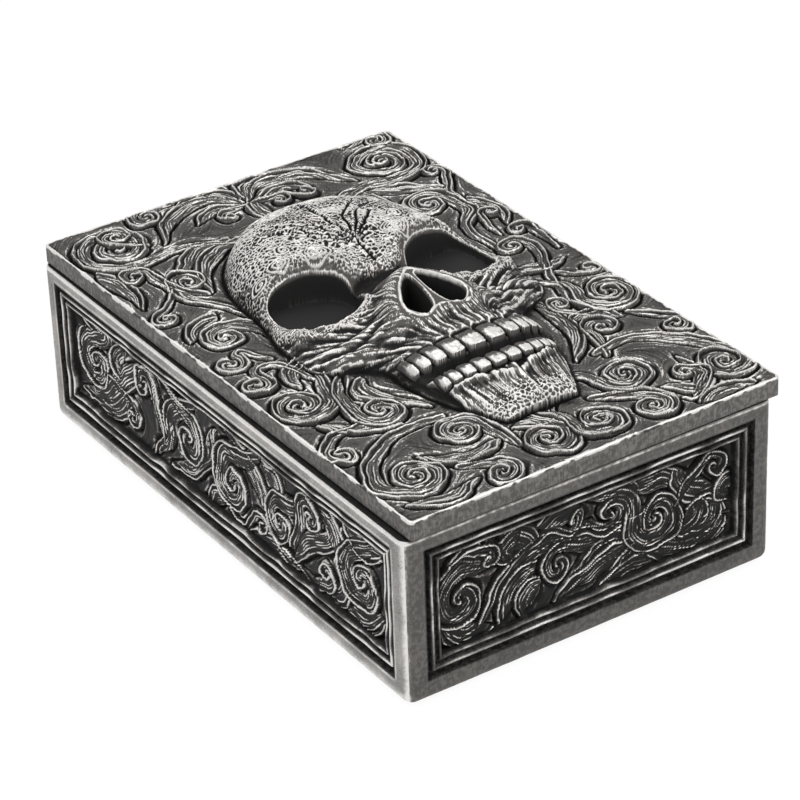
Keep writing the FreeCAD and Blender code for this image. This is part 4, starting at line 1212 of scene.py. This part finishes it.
@once
def inside_finish(finish, paint):
    """Plain black paint with a few light brush marks."""
    place = finish.place()
    cloud = finish.noise(place, 160.0, 4.0)
    marks = finish.noise(place, 500.0, 3.0, INSIDE_STREAKS)
    worn = finish.limit(finish.ramp(marks, 0.55, 0.85) * finish.ramp(cloud, 0.45, 0.70) * 0.25)
    base = finish.mix(paint.inside, paint.ground, worn)
    rough = 0.50 + (cloud - 0.5) * 0.2
    return finish.surface(Base_Color=base, Roughness=rough, Normal=finish.bump(marks, 0.3, 0.0002))


def lid_pose(lid):
    """Turn and shift of the lid as it lies, from its box in the frame."""
    length = BODY_HIGH.y - BODY_LOW.y + 2 * lid.overhang
    width = BODY_HIGH.x - BODY_LOW.x + 2 * lid.overhang
    spare = LID_HIGH.y - LID_LOW.y - length
    turn = spare / (width - 2 * lid.corner_radius)
    shift = (LID_HIGH + LID_LOW) / 2
    return width / 2, length / 2, Matrix.Translation((shift.x, shift.y, 0)) @ Matrix.Rotation(turn, 4, "Z")


def posed(points, pose):
    """Points carried by a matrix."""
    matrix = np.array(pose)
    return points @ matrix[:3, :3].T + matrix[:3, 3]


class KEEPSAKE_OT_lid(bpy.types.Operator):
    """Carves the lid plate with its skull and scrolls, in six blocks"""

    bl_idname = "keepsake.lid"
    bl_label = "Carve Lid"
    bl_options = {"REGISTER", "UNDO"}

    def heights(self, columns, rows, lid, carving, half_width, half_length):
        """Heights over the lid's edge, and the paint's attributes, on the whole lid."""
        field = CarvedField(columns, rows, carving, carving.ribbon, WARP_SEED)
        lay_scrolls(field, LID_SCROLLS, LID_LEAVES, half_width, half_length, half_width, carving.lid_rise)
        x, y = np.meshgrid(columns, rows)
        strand = carving.strand
        pitted = soft_noise(x, y, strand * 0.5, 3) * strand * 0.04
        pitted += soft_noise(x, y, strand * 3, 4) * strand * 0.08
        skull = SkullRelief(x, y, lid, carving)
        turn = np.where(skull.inside, skull.flow(), field.directions(strand / carving.lid_pitch))
        strokes = 0.65 * brush_strokes(turn, 2 * STROKE_STEPS, WEAR_SEED, 1)
        strokes += 0.55 * brush_strokes(turn, STROKE_STEPS, WEAR_SEED + 1)
        scrolls = field.finish(strokes)
        bone = skull.carve(strokes, brush_strokes(turn, 2 * STROKE_STEPS, ECHO_SEED, 2))
        moat = bell(np.maximum(skull.edge, 0) / (strand * 0.8)) * skull.moat
        ground = scrolls * (1 - 0.85 * moat) + pitted - carving.lid_sink - moat * strand * 0.35
        border = np.minimum(half_width - np.abs(x), half_length - np.abs(y))
        ground = np.where(ground > 0, ground * smooth_step(0, strand * 2, border), ground)
        chips = soft_noise(x, y, strand * 3.2, 15) * 0.6 + soft_noise(x, y, strand * 1.2, 16) * 0.4
        lip = 1 - smooth_step(strand * 0.3, strand * (1.0 + 0.4 * chips), border)
        ground = ground * (1 - lip) + np.maximum(ground, -carving.lid_sink * 0.3) * lip
        climb = ground + strand * (1 - smooth_step(-strand * 5, 0, skull.edge)) * -4
        climb += (1 - skull.moat) * strand * 0.5
        over = skull.inside & (climb > bone) & (skull.edge > -strand * 4)
        height = np.where(skull.inside, np.maximum(bone, np.where(over, climb, -carving.lid_sink)), ground)
        for layer in (skull.bright, skull.smooth):
            layer[over] = 0
        worn = lid.top_round * (1 + 0.4 * chips)
        round_off = np.clip(1 - border / worn, 0, 1)
        height -= round_off**2 * worn * 0.7
        wear, depth = brush_wear(height, carving.lid_pitch, strand, x, y, WEAR_SEED)
        # higher parts of the skull get more silver and a lighter ground: dry brushing of the high spots,
        # partly a painted highlight on top
        high = smooth_step(0.20, 0.95, bone / lid.skull_height)
        edge_line = bell((border - strand * 0.25) / (strand * (0.50 + 0.35 * chips)))
        edge_line *= np.clip(0.75 + 1.2 * chips, 0.1, 1.2)
        wear = np.clip(wear * skull.worn + 0.10 * high * skull.worn + 0.8 * edge_line, 0, 1.2)
        # smooth places lose their silver and go dark: black paint in pits and grooves, painted shade in the
        # openings
        wear = np.clip(wear + skull.bright, 0, 1.2) * (1 - 0.96 * skull.smooth)
        depth = np.clip(depth + 0.12 * high, 0, 1) * (1 - 0.75 * skull.smooth)
        return height, wear, depth, skull.sunk

    def execute(self, context):
        scene = context.scene
        lid, carving, paint = scene.keepsake_lid, scene.keepsake_carving, scene.keepsake_paint
        half_width, half_length, pose = lid_pose(lid)
        across = int(half_width / carving.lid_pitch)
        along = int(2 * half_length / 3 / carving.lid_pitch)
        columns = np.linspace(-half_width, half_width, 2 * across + 1)
        rows = np.linspace(-half_length, half_length, 3 * along + 1)
        fields = self.heights(columns, rows, lid, carving, half_width, half_length)
        top = BODY_HIGH.z + lid.thickness
        finish = casting_finish("dry_brushed_lid", paint, LID_STREAKS)
        for band, part in enumerate(("chin", "face", "crown")):
            for hand, side in enumerate(("left", "right")):
                row_span = slice(band * along, (band + 1) * along + 1)
                column_span = slice(hand * across, (hand + 1) * across + 1)
                piece, column, row = add_grid("lid_" + part + "_" + side, across + 1, along + 1)
                x, y = columns[column_span][column], rows[row_span][row]
                values = [array[row_span, column_span][row, column] for array in fields]
                plan = self.rounded_plan(np.column_stack([x, y]), half_width, half_length, lid.corner_radius)
                set_points(piece, np.column_stack([plan, top + values[0]]))
                self.close_sides(piece, lid, half_width, half_length, top)
                self.paint_block(piece, values, lid, half_width, half_length, top)
                set_points(piece, posed(get_points(piece), pose))
                finish_piece(piece, finish, "lid", "lid")
        return {"FINISHED"}

    def rounded_plan(self, plan, half_width, half_length, radius):
        """Rounds the corners of the plate in plan."""
        inner = np.array([half_width - radius, half_length - radius])
        over = np.maximum(np.abs(plan) - inner, 0) / radius
        reach = np.hypot(*over.T)
        scale = np.where(reach > 0, over.max(axis=1) / np.maximum(reach, 1e-9), 1)
        corner = (over > 0).all(axis=1)
        moved = np.sign(plan) * (inner + over * scale[:, None] * radius)
        return np.where(corner[:, None], moved, plan)

    def close_sides(self, piece, lid, half_width, half_length, top):
        """Extrudes the open edge down the sides of the plate and closes the underside."""
        base = BODY_HIGH.z
        turns = np.linspace(0, math.pi / 2, 4)
        levels = [(top - lid.top_round * 2.2, 0.0), (top - lid.thickness * 0.5, 0.0)]
        for turn in turns:
            drop = lid.under_radius * (1 - math.sin(turn))
            levels.append((base + drop, lid.under_radius * (1 - math.cos(turn))))
        edit_mesh("EDGE")
        bpy.ops.mesh.select_non_manifold(extend=False)
        for level, inset in levels:
            bpy.ops.mesh.extrude_edges_move()
            bpy.ops.object.mode_set(mode="OBJECT")
            points = get_points(piece)
            chosen = np.empty(len(points), bool)
            piece.data.vertices.foreach_get("select", chosen)
            edge = points[chosen]
            limit = np.array([half_width - inset, half_length - inset])
            edge[:, :2] = np.clip(edge[:, :2], -limit, limit)
            edge[:, 2] = level
            points[chosen] = edge
            set_points(piece, points)
            bpy.ops.object.mode_set(mode="EDIT")
        bpy.ops.mesh.edge_face_add()
        end_edit(LID_CREASE)

    def paint_block(self, piece, values, lid, half_width, half_length, top):
        """Attributes and map of a block, with the sides brushed plainly."""
        points = get_points(piece)
        total, count = len(points), len(values[0])
        side = np.arange(total) >= count
        strand = bpy.context.scene.keepsake_carving.strand
        below = top - points[:, 2]
        wear, depth, sunk = np.zeros(total), np.full(total, 0.62), np.zeros(total)
        wear[:count], depth[:count], sunk[:count] = values[1:]
        wear[side] = 0.55 * np.exp(-below[side] / (strand * 1.2))
        border = np.minimum(half_width - np.abs(points[:, 0]), half_length - np.abs(points[:, 1]))
        plain = np.where(side, 1.0, np.where(border < NEAR, 0.5, 0.0))
        for name, numbers in (("wear", wear), ("depth", depth), ("plain", plain), ("sunk", sunk)):
            set_attribute(piece, name, numbers)
        low, high = points[:count, :2].min(axis=0), points[:count, :2].max(axis=0)
        drop = np.where(side, below, 0)[:, None]
        near = lid.under_radius + NEAR
        spread = points[:, :2] + drop * ((points[:, :2] > high - near) * 1.0 - (points[:, :2] < low + near))
        reach = lid.thickness * 1.2
        flat = (spread - low + reach) / (high - low + 2 * reach)
        spread_map(piece, flat[:, 0], flat[:, 1], (points[:, :2] - low) / (high - low))


class KEEPSAKE_OT_rim(bpy.types.Operator):
    """Makes the locating rim under the lid"""

    bl_idname = "keepsake.rim"
    bl_label = "Make Locating Rim"
    bl_options = {"REGISTER", "UNDO"}

    def execute(self, context):
        scene = context.scene
        lid, body, paint = scene.keepsake_lid, scene.keepsake_body, scene.keepsake_paint
        pose = lid_pose(lid)[2]
        inset = body.wall + lid.play
        outer = Vector((BODY_HIGH.x - inset, BODY_HIGH.y - inset))
        base = BODY_HIGH.z - lid.rim_depth
        piece = add_block("lid_locating_rim", outer, (base, BODY_HIGH.z))
        edit_mesh("FACE")
        bpy.ops.object.mode_set(mode="OBJECT")
        for face in piece.data.polygons:
            face.select = abs(face.normal.z) > 0.5
        bpy.ops.object.mode_set(mode="EDIT")
        bpy.ops.mesh.inset(thickness=lid.rim_width, depth=0)
        bpy.ops.mesh.bridge_edge_loops()
        bpy.ops.object.mode_set(mode="OBJECT")
        points = get_points(piece)
        for edge in piece.data.edges:
            ends = [points[index] for index in edge.vertices]
            low = all(abs(end[2] - base) < NEAR for end in ends)
            outside = all(
                abs(abs(end[0]) - outer.x) < NEAR or abs(abs(end[1]) - outer.y) < NEAR for end in ends
            )
            edge.select = low and outside
        bpy.ops.object.mode_set(mode="EDIT")
        bpy.ops.mesh.select_mode(type="EDGE")
        bpy.ops.mesh.bevel(offset=lid.rim_chamfer, segments=3, affect="EDGES")
        end_edit(SLAB_CREASE)
        set_points(piece, posed(get_points(piece), pose))
        finish_piece(piece, inside_finish("black_inside_paint", paint), "lid", "lid")
        return {"FINISHED"}


class WallPlan:
    """Where the points of one wall lie: columns run along the side and half way round its corners."""

    def __init__(self, body, long_side, turn, pitch):
        self.body, self.turn = body, turn
        width, length = BODY_HIGH.x - BODY_LOW.x, BODY_HIGH.y - BODY_LOW.y
        self.half, self.out = (length / 2, width / 2) if long_side else (width / 2, length / 2)
        self.low, self.high = BODY_LOW.z, BODY_HIGH.z
        self.straight = self.half - body.corner_radius
        frame_steps = self.frame_steps()
        self.moulding = frame_steps[-1]
        recess = self.half - body.stile
        columns = self.spaced(recess, self.straight, frame_steps, pitch)
        arc = np.linspace(0, math.pi / 4, 7)[1:]
        self.column_place = np.concatenate([np.full(6, -self.straight), columns, np.full(6, self.straight)])
        self.column_turn = np.concatenate([-arc[::-1], np.zeros(len(columns)), arc])
        self.recess_low = self.low + body.bottom_rail
        self.recess_high = self.high - body.top_rail
        middle = (self.recess_low + self.recess_high) / 2
        self.recess_middle, self.recess_half = middle, (self.recess_high - self.recess_low) / 2
        inner = self.spaced(self.recess_half, self.recess_half, frame_steps, pitch) + middle
        foot_turn = np.linspace(0, math.pi / 2, 6)[:-1]
        foot = self.low + body.base_radius * (1 - np.cos(foot_turn))
        rail = np.linspace(self.low + body.base_radius, self.recess_low, 6)[:-1]
        cap = np.linspace(self.recess_high, self.high - body.rim_round, 6)[1:]
        lip_turn = np.linspace(0, math.pi / 2, 4)[1:]
        lip = self.high - body.rim_round * (1 - np.sin(lip_turn))
        self.levels = np.concatenate([foot, rail, inner, cap, lip])
        inset = np.zeros(len(self.levels))
        inset[: len(foot)] = body.base_radius * (1 - np.sin(foot_turn))
        inset[-len(lip):] = body.rim_round * (1 - np.cos(lip_turn))
        self.insets = inset

    def frame_steps(self):
        """Distances into the recess at which the moulding is cut by the mesh."""
        body = self.body
        steps, start = [0.0], 0.0
        for width in (body.outer_groove, body.outer_bead, body.inner_groove, body.inner_bead):
            for share in (0.10, 0.35, 0.65, 0.90, 1.0):
                steps.append(start + width * share)
            start += width
        return np.array(steps)

    def spaced(self, recess, end, frame_steps, pitch):
        """Places across the recess from one side to the other, and out to the end."""
        field = recess - frame_steps[-1]
        count = int(2 * field / pitch)
        inner = np.linspace(-field, field, count + 1)
        left = -recess + frame_steps[:-1]
        edge = np.linspace(-end, -recess, 7)[:-1] if end > recess else np.array([])
        return np.concatenate([edge, left, inner, -left[::-1], -edge[::-1]])

    def outline(self, inset, radius):
        """Points and outward normals of the side at an inset from its face, in plan."""
        straight = self.half - inset - radius
        place = self.column_place / self.straight * straight
        x = place + np.sin(self.column_turn) * radius
        y = -(self.out - inset - radius) - np.cos(self.column_turn) * radius
        normal = np.column_stack([np.sin(self.column_turn), -np.cos(self.column_turn)])
        return np.column_stack([x, y]), normal


class KEEPSAKE_OT_walls(bpy.types.Operator):
    """Carves the four walls of the body with their framed panels"""

    bl_idname = "keepsake.walls"
    bl_label = "Carve Walls"
    bl_options = {"REGISTER", "UNDO"}

    def moulding(self, into, body, along):
        """Depth behind the face at a distance into the recess."""
        depth = np.zeros(into.shape)
        start = 0.0
        rows = [
            (body.outer_groove, body.outer_bead, body.outer_drop),
            (body.inner_groove, body.inner_bead, body.inner_drop),
        ]
        for groove, bead, drop in rows:
            depth = np.where(into >= start + groove * 0.05, body.groove_depth, depth)
            middle = start + groove + bead / 2
            place = np.abs(into - middle) / (bead / 2)
            crest = drop + along * drop * 0.35
            rounded = crest + (body.groove_depth - crest) * np.clip(place, 0, 1) ** 3.2
            depth = np.where(place <= 1, rounded, depth)
            start += groove + bead
        return np.where(into > start, body.field_depth, depth)

    def execute(self, context):
        scene = context.scene
        body, carving, paint = scene.keepsake_body, scene.keepsake_carving, scene.keepsake_paint
        finish = casting_finish("dry_brushed_body", paint, WALL_STREAKS)
        for name, long_side, turn, mirror, seed in WALLS:
            plan = WallPlan(body, long_side, turn, carving.panel_pitch)
            self.make_wall(name, plan, long_side, mirror, seed, body, carving, finish)
        return {"FINISHED"}

    def make_wall(self, name, plan, long_side, mirror, seed, body, carving, finish):
        """One wall: carved face, land, inner face and underside in one closed mesh."""
        strand = carving.strand
        place, level = np.meshgrid(plan.column_place, plan.levels)
        turned = np.meshgrid(plan.column_turn, plan.levels)[0]
        recess = plan.half - body.stile
        into = np.minimum(recess - np.abs(place), plan.recess_half - np.abs(level - plan.recess_middle))
        ripple = soft_noise(place, level, strand * 5, seed)
        depth_in = self.moulding(into, body, ripple)
        field_half = recess - plan.moulding
        field_high = plan.recess_half - plan.moulding
        rows = plan.levels - plan.recess_middle
        field = CarvedField(plan.column_place, rows, carving, carving.panel_ribbon, seed)
        scrolls, leaves = SHORT_PANEL_SCROLLS, SHORT_PANEL_LEAVES
        if long_side:
            scrolls, leaves = LONG_PANEL_SCROLLS, LONG_PANEL_LEAVES
        if mirror < 0:
            scrolls = [(-x, y, r, -turns, [(-a, b) for a, b in stem]) for x, y, r, turns, stem in scrolls]
            leaves = [[(-a, b) for a, b in places] for places in leaves]
        lay_scrolls(field, scrolls, leaves, field_half, field_high, field_high, carving.panel_rise)
        turn = field.directions(strand / carving.panel_pitch)
        carved = field.finish(1.3 * brush_strokes(turn, 2 * STROKE_STEPS, seed, 1))
        carved = 0.7 * carved + 0.3 * blurred(carved, 1)
        inside = smooth_step(plan.moulding, plan.moulding + strand * 0.5, into)
        rail = into < 0
        cast = soft_noise(place, level, strand * 6, seed + 5) * strand * 0.06
        cast += soft_noise(place, level, strand * 0.8, seed + 6) * strand * 0.03
        push = -depth_in + carved * inside + np.where(rail, cast, cast * 0.4)
        push = np.where(rail & (level > plan.high - body.rim_round * 1.01), 0, push)
        wear, depth = brush_wear(push, carving.panel_pitch, strand, place, level, seed + 7)
        corner = np.abs(turned) / (math.pi / 4)
        chips = soft_noise(place + turned * body.corner_radius, level, strand * 0.9, seed + 8)
        top_line = bell((plan.high - level - strand * 0.5) / (strand * 0.40))
        foot_line = bell((level - plan.low - body.base_radius * 0.6) / (strand * 1.4))
        # painted light: the long sides' rails and fields are painted lighter, the short sides' darker, and
        # the short sides' rails darker towards the bottom
        lit = (level - plan.low) / (plan.high - plan.low)
        rubbing_and_painted_light = 0.42 if long_side else 0.02 + 0.12 * lit
        wear = np.where(rail, 0.25 * wear + rubbing_and_painted_light, (0.94 if long_side else 0.70) * wear)
        # silver along the corners, the top edge and the foot; on the rounded corners it is partly a painted
        # highlight
        wear += rail * (0.42 * corner**2 + 0.45 * top_line + 0.20 * foot_line) * (0.85 + 0.35 * chips)
        wear = np.where((into >= 0) & (into < plan.moulding), (0.62 + 0.30 * ripple) * wear, wear)
        depth = np.where(rail, 0.62, depth * 0.24)
        # plain sets the brushing of the rails, lighter on the long sides as painted light
        plain = np.where(rail, 1.0 if long_side else 0.62, np.where(into < plan.moulding, 0.25, 0.0))
        self.build(name, plan, body, push, wear, depth, plain, finish)

    def build(self, name, plan, body, push, wear, depth, plain, finish):
        """Wraps a grid round the wall's profile and closes its mitred ends."""
        floor = LINING_LOW.z
        rows = []
        for row, (level, inset) in enumerate(zip(plan.levels, plan.insets)):
            outline, normal = plan.outline(inset, body.corner_radius - inset)
            outline = outline + normal * push[row][:, None]
            rows.append(np.column_stack([outline, np.full(len(outline), level)]))
        outer = len(rows)
        inner = [(body.wall - body.rim_round / 2, plan.high), (body.wall, plan.high - body.rim_round / 2)]
        fillet = body.cavity_fillet
        for turn in np.linspace(0, math.pi / 2, 5):
            inner.append((body.wall + fillet * (1 - math.cos(turn)), floor + fillet * (1 - math.sin(turn))))
        inner.append((body.wall + fillet, plan.low))
        for inset, level in inner:
            radius = max(body.cavity_radius - (inset - body.wall), body.cavity_radius / 4)
            outline, _ = plan.outline(inset, radius)
            rows.append(np.column_stack([outline, np.full(len(outline), level)]))
        rows.append(rows[0])
        points = np.array(rows)
        piece, column, row = add_grid(name, points.shape[1], points.shape[0])
        local = points[row, column]
        pose = Matrix.Rotation(math.radians(plan.turn), 4, "Z")
        set_points(piece, posed(local, pose))
        last = np.clip(row, 0, outer - 1)
        # the land under the lid is left black, without silver: black paint with painted shade from the lid
        # over it
        set_attribute(piece, "wear", np.where(row < outer - 1, wear[last, column], 0.0))
        land = row >= outer - 1
        set_attribute(piece, "depth", np.where(land, 0.10, depth[last, column]))
        set_attribute(piece, "plain", np.where(land, 0.05, plain[last, column]))
        set_attribute(piece, "sunk", np.zeros(len(row)))
        across = np.concatenate([[0], np.cumsum(np.hypot(*np.diff(points[outer // 2, :, :2], axis=0).T))])
        spans = np.diff(points[:, len(across) // 2], axis=0)
        along = np.concatenate([[0], np.cumsum(np.linalg.norm(spans, axis=1))])
        flat_x, flat_y = (across / across[-1])[column], (along / along[-1])[row]
        self.map_grid(piece, flat_x, flat_y)
        bpy.ops.object.mode_set(mode="EDIT")
        bpy.ops.mesh.select_all(action="SELECT")
        bpy.ops.mesh.remove_doubles(threshold=1e-7)
        bpy.ops.mesh.select_mode(type="EDGE")
        bpy.ops.mesh.select_all(action="DESELECT")
        bpy.ops.mesh.select_non_manifold(extend=False)
        bpy.ops.mesh.edge_face_add()
        end_edit(WALL_CREASE)
        self.map_caps(piece)
        finish_piece(piece, finish, "box", "box_body")

    def map_grid(self, piece, flat_x, flat_y):
        """Flat map of the wrapped grid."""
        layer, corner = start_map(piece)
        place = np.column_stack([flat_x[corner] * 0.96, flat_y[corner]])
        layer.data.foreach_set("uv", np.ascontiguousarray(place, np.float32).ravel())

    def map_caps(self, piece):
        """Puts the mitred ends into a strip beside the map."""
        layer = piece.data.uv_layers[MAP_NAME]
        for face in piece.data.polygons:
            if face.loop_total > 4:
                for index in face.loop_indices:
                    point = piece.data.vertices[piece.data.loops[index].vertex_index].co
                    shift = 0.0 if face.center.x * face.normal.x > 0 else 0.02
                    layer.data[index].uv = (0.965 + shift + abs(point.z) * 0.2, abs(point.x + point.y) % 1.0)


class KEEPSAKE_OT_floor(bpy.types.Operator):
    """Makes the floor plate of the body"""

    bl_idname = "keepsake.floor"
    bl_label = "Make Floor"
    bl_options = {"REGISTER", "UNDO"}

    def execute(self, context):
        scene = context.scene
        body, paint = scene.keepsake_body, scene.keepsake_paint
        inset = body.wall + body.cavity_fillet
        piece = rounded_slab(
            "box_floor",
            (BODY_HIGH.x - inset, BODY_HIGH.y - inset),
            (BODY_LOW.z, LINING_LOW.z),
            body.cavity_radius - body.cavity_fillet,
            0.0,
        )
        finish_piece(piece, inside_finish("black_inside_paint", paint), "box", "box_body")
        return {"FINISHED"}


def rounded_slab(name, half, levels, radius, edge_round):
    """Flat slab with rounded upright corners and softened edges, from a cube."""
    piece = add_block(name, half, levels)
    edit_mesh("EDGE")
    bpy.ops.object.mode_set(mode="OBJECT")
    for edge in piece.data.edges:
        ends = [piece.data.vertices[index].co for index in edge.vertices]
        edge.select = abs(ends[0].z - ends[1].z) > NEAR
    bpy.ops.object.mode_set(mode="EDIT")
    bpy.ops.mesh.bevel(offset=radius, segments=8, affect="EDGES")
    bpy.ops.object.mode_set(mode="OBJECT")
    if edge_round:
        rounding = piece.modifiers.new("soft_edge", "BEVEL")
        rounding.width = edge_round
        rounding.segments = 3
        rounding.limit_method = "ANGLE"
        rounding.angle_limit = math.radians(60)
        bpy.ops.object.modifier_apply(modifier=rounding.name)
    bpy.ops.object.shade_smooth_by_angle(angle=math.radians(SLAB_CREASE))
    return piece


class KEEPSAKE_OT_felt(bpy.types.Operator):
    """Cuts the felt under the base and the felt on the floor"""

    bl_idname = "keepsake.felt"
    bl_label = "Lay Felt"
    bl_options = {"REGISTER", "UNDO"}

    def execute(self, context):
        body, paint = context.scene.keepsake_body, context.scene.keepsake_paint
        base, lining = (BASE_LOW, BASE_HIGH, body.felt_radius), (LINING_LOW, LINING_HIGH, body.lining_radius)
        sheets = [
            ("base_felt_sheet", base, "base_felt", "felt", "wall_front"),
            ("floor_felt_sheet", lining, "floor_lining", "lining_felt", "box_floor"),
        ]
        for name, (low, high, radius), node, slot, under in sheets:
            half = (high - low) / 2
            piece = rounded_slab(name, (half.x, half.y), (low.z, high.z), radius, half.z * 0.5)
            flat = (2 * half.x, 2 * half.y)
            finish_piece(piece, felt_finish("black_felt", tuple(paint.felt)), "box", node)
            area = flat[0] * flat[1] - (4 - math.pi) * radius**2
        return {"FINISHED"}


# Light of the surroundings and of the floor, and the lamps: place, aim, size, power and colour
WHITE = (1.0, 1.0, 1.0, 1.0)
WORLD_LIGHT = 0.40
FLOOR_GLOW = 1.06
FLOOR_GLOW_SHARE = 0.88
SENSOR_WIDTH = 36.0
LAMPS = {
    "key_lamp": ((0.55, -0.75, 1.25), (0, 0, 0.04), 0.9, 9.0, (1.0, 0.99, 0.97)),
    "top_lamp": ((-0.25, 0.55, 1.30), (0, 0, 0.04), 1.1, 8.0, (1.0, 1.0, 1.0)),
    "side_lamp": ((-1.1, -0.55, 0.75), (0, 0, 0.03), 0.8, 3.0, (1.0, 0.99, 0.98)),
}


class KEEPSAKE_OT_stage(bpy.types.Operator):
    """Sets the floor, the lamps and the camera"""

    bl_idname = "keepsake.stage"
    bl_label = "Set Stage"
    bl_options = {"REGISTER", "UNDO"}

    def add_lamp(self, name, place, aim, size, power, colour):
        """A soft square lamp."""
        lamp = bpy.data.lights.new(name, "AREA")
        lamp.size, lamp.energy, lamp.color = size, power, colour
        holder = bpy.data.objects.new(name, lamp)
        bpy.context.scene.collection.objects.link(holder)
        turn = (Vector(aim) - Vector(place)).to_track_quat("-Z", "Y").to_matrix().to_4x4()
        holder.matrix_world = Matrix.Translation(place) @ turn

    def execute(self, context):
        scene = context.scene
        stage = scene.keepsake_stage
        scene.view_settings.view_transform = "Standard"
        floor = add_primitive("plane", "studio_floor", size=stage.floor_size)
        floor.data.materials.append(self.floor_finish(tuple(stage.floor_colour)))
        self.light_world(scene)
        for name, values in LAMPS.items():
            self.add_lamp(name, *values)
        self.place_camera(scene, stage)
        return {"FINISHED"}

    def floor_finish(self, colour):
        """Pale floor that the camera and reflections see as white away from the shadow."""
        finish = Finish(bpy.data.materials.new("pale_floor"))
        matt = finish.node("ShaderNodeBsdfPrincipled", {}, {"Base Color": (*colour, 1.0), "Roughness": 0.9})
        glow = finish.node("ShaderNodeEmission", {}, {"Color": WHITE, "Strength": FLOOR_GLOW})
        share = finish.seen_by("Is Camera Ray", "Is Glossy Ray", "Is Transmission Ray") * FLOOR_GLOW_SHARE
        return finish.show(finish.node("ShaderNodeMixShader", {}, {0: share, 1: matt, 2: glow}))

    def light_world(self, scene):
        """Even pale surroundings, white to the camera."""
        sky = Finish(bpy.data.worlds.new("studio_world"))
        dim, white = (
            sky.node("ShaderNodeBackground", {}, {"Color": WHITE, "Strength": strength})
            for strength in (WORLD_LIGHT, 1.0)
        )
        mixed = sky.node("ShaderNodeMixShader", {}, {0: sky.seen_by("Is Camera Ray"), 1: dim, 2: white})
        scene.world = sky.show(mixed, "ShaderNodeOutputWorld")

    def place_camera(self, scene, stage):
        """Camera at the photograph's angle."""
        level = math.cos(stage.elevation)
        back = Vector((
            math.sin(stage.azimuth) * level, -math.cos(stage.azimuth) * level, math.sin(stage.elevation)
        ))
        right = Vector((0, 0, 1)).cross(back).normalized()
        up = back.cross(right)
        turn = Matrix((right, up, back)).transposed() @ Matrix.Rotation(stage.roll, 3, "Z")
        camera = bpy.data.objects.new("camera", bpy.data.cameras.new("camera"))
        camera.data.lens = stage.lens
        camera.data.sensor_width = SENSOR_WIDTH
        camera.matrix_world = Matrix.Translation(Vector(stage.aim) + back * stage.distance) @ turn.to_4x4()
        scene.collection.objects.link(camera)
        scene.camera = camera


STEPS = ("stage", "lid", "rim", "walls", "floor", "felt")


class KEEPSAKE_PT_panel(bpy.types.Panel):
    """The steps that make the box, and the values they use"""

    bl_idname = "KEEPSAKE_PT_panel"
    bl_label = "Keepsake Box"
    bl_space_type = "VIEW_3D"
    bl_region_type = "UI"
    bl_category = "Keepsake Box"

    def draw(self, context):
        layout = self.layout
        for step in STEPS:
            layout.operator("keepsake." + step)
        for key, group in SETTINGS.items():
            box = layout.box()
            box.label(text=group.__doc__)
            for value in group.__annotations__:
                box.prop(getattr(context.scene, key), value)


CLASSES = (
    *SETTINGS.values(),
    KEEPSAKE_OT_stage,
    KEEPSAKE_OT_lid,
    KEEPSAKE_OT_rim,
    KEEPSAKE_OT_walls,
    KEEPSAKE_OT_floor,
    KEEPSAKE_OT_felt,
    KEEPSAKE_PT_panel,
)


def register():
    for kind in CLASSES:
        bpy.utils.register_class(kind)
    for key, group in SETTINGS.items():
        setattr(bpy.types.Scene, key, bpy.props.PointerProperty(type=group))


def unregister():
    for key in SETTINGS:
        delattr(bpy.types.Scene, key)
    for kind in reversed(CLASSES):
        bpy.utils.unregister_class(kind)


def main():
    register()
    for step in STEPS:
        getattr(bpy.ops.keepsake, step)()


if __name__ == "__main__":
    main()
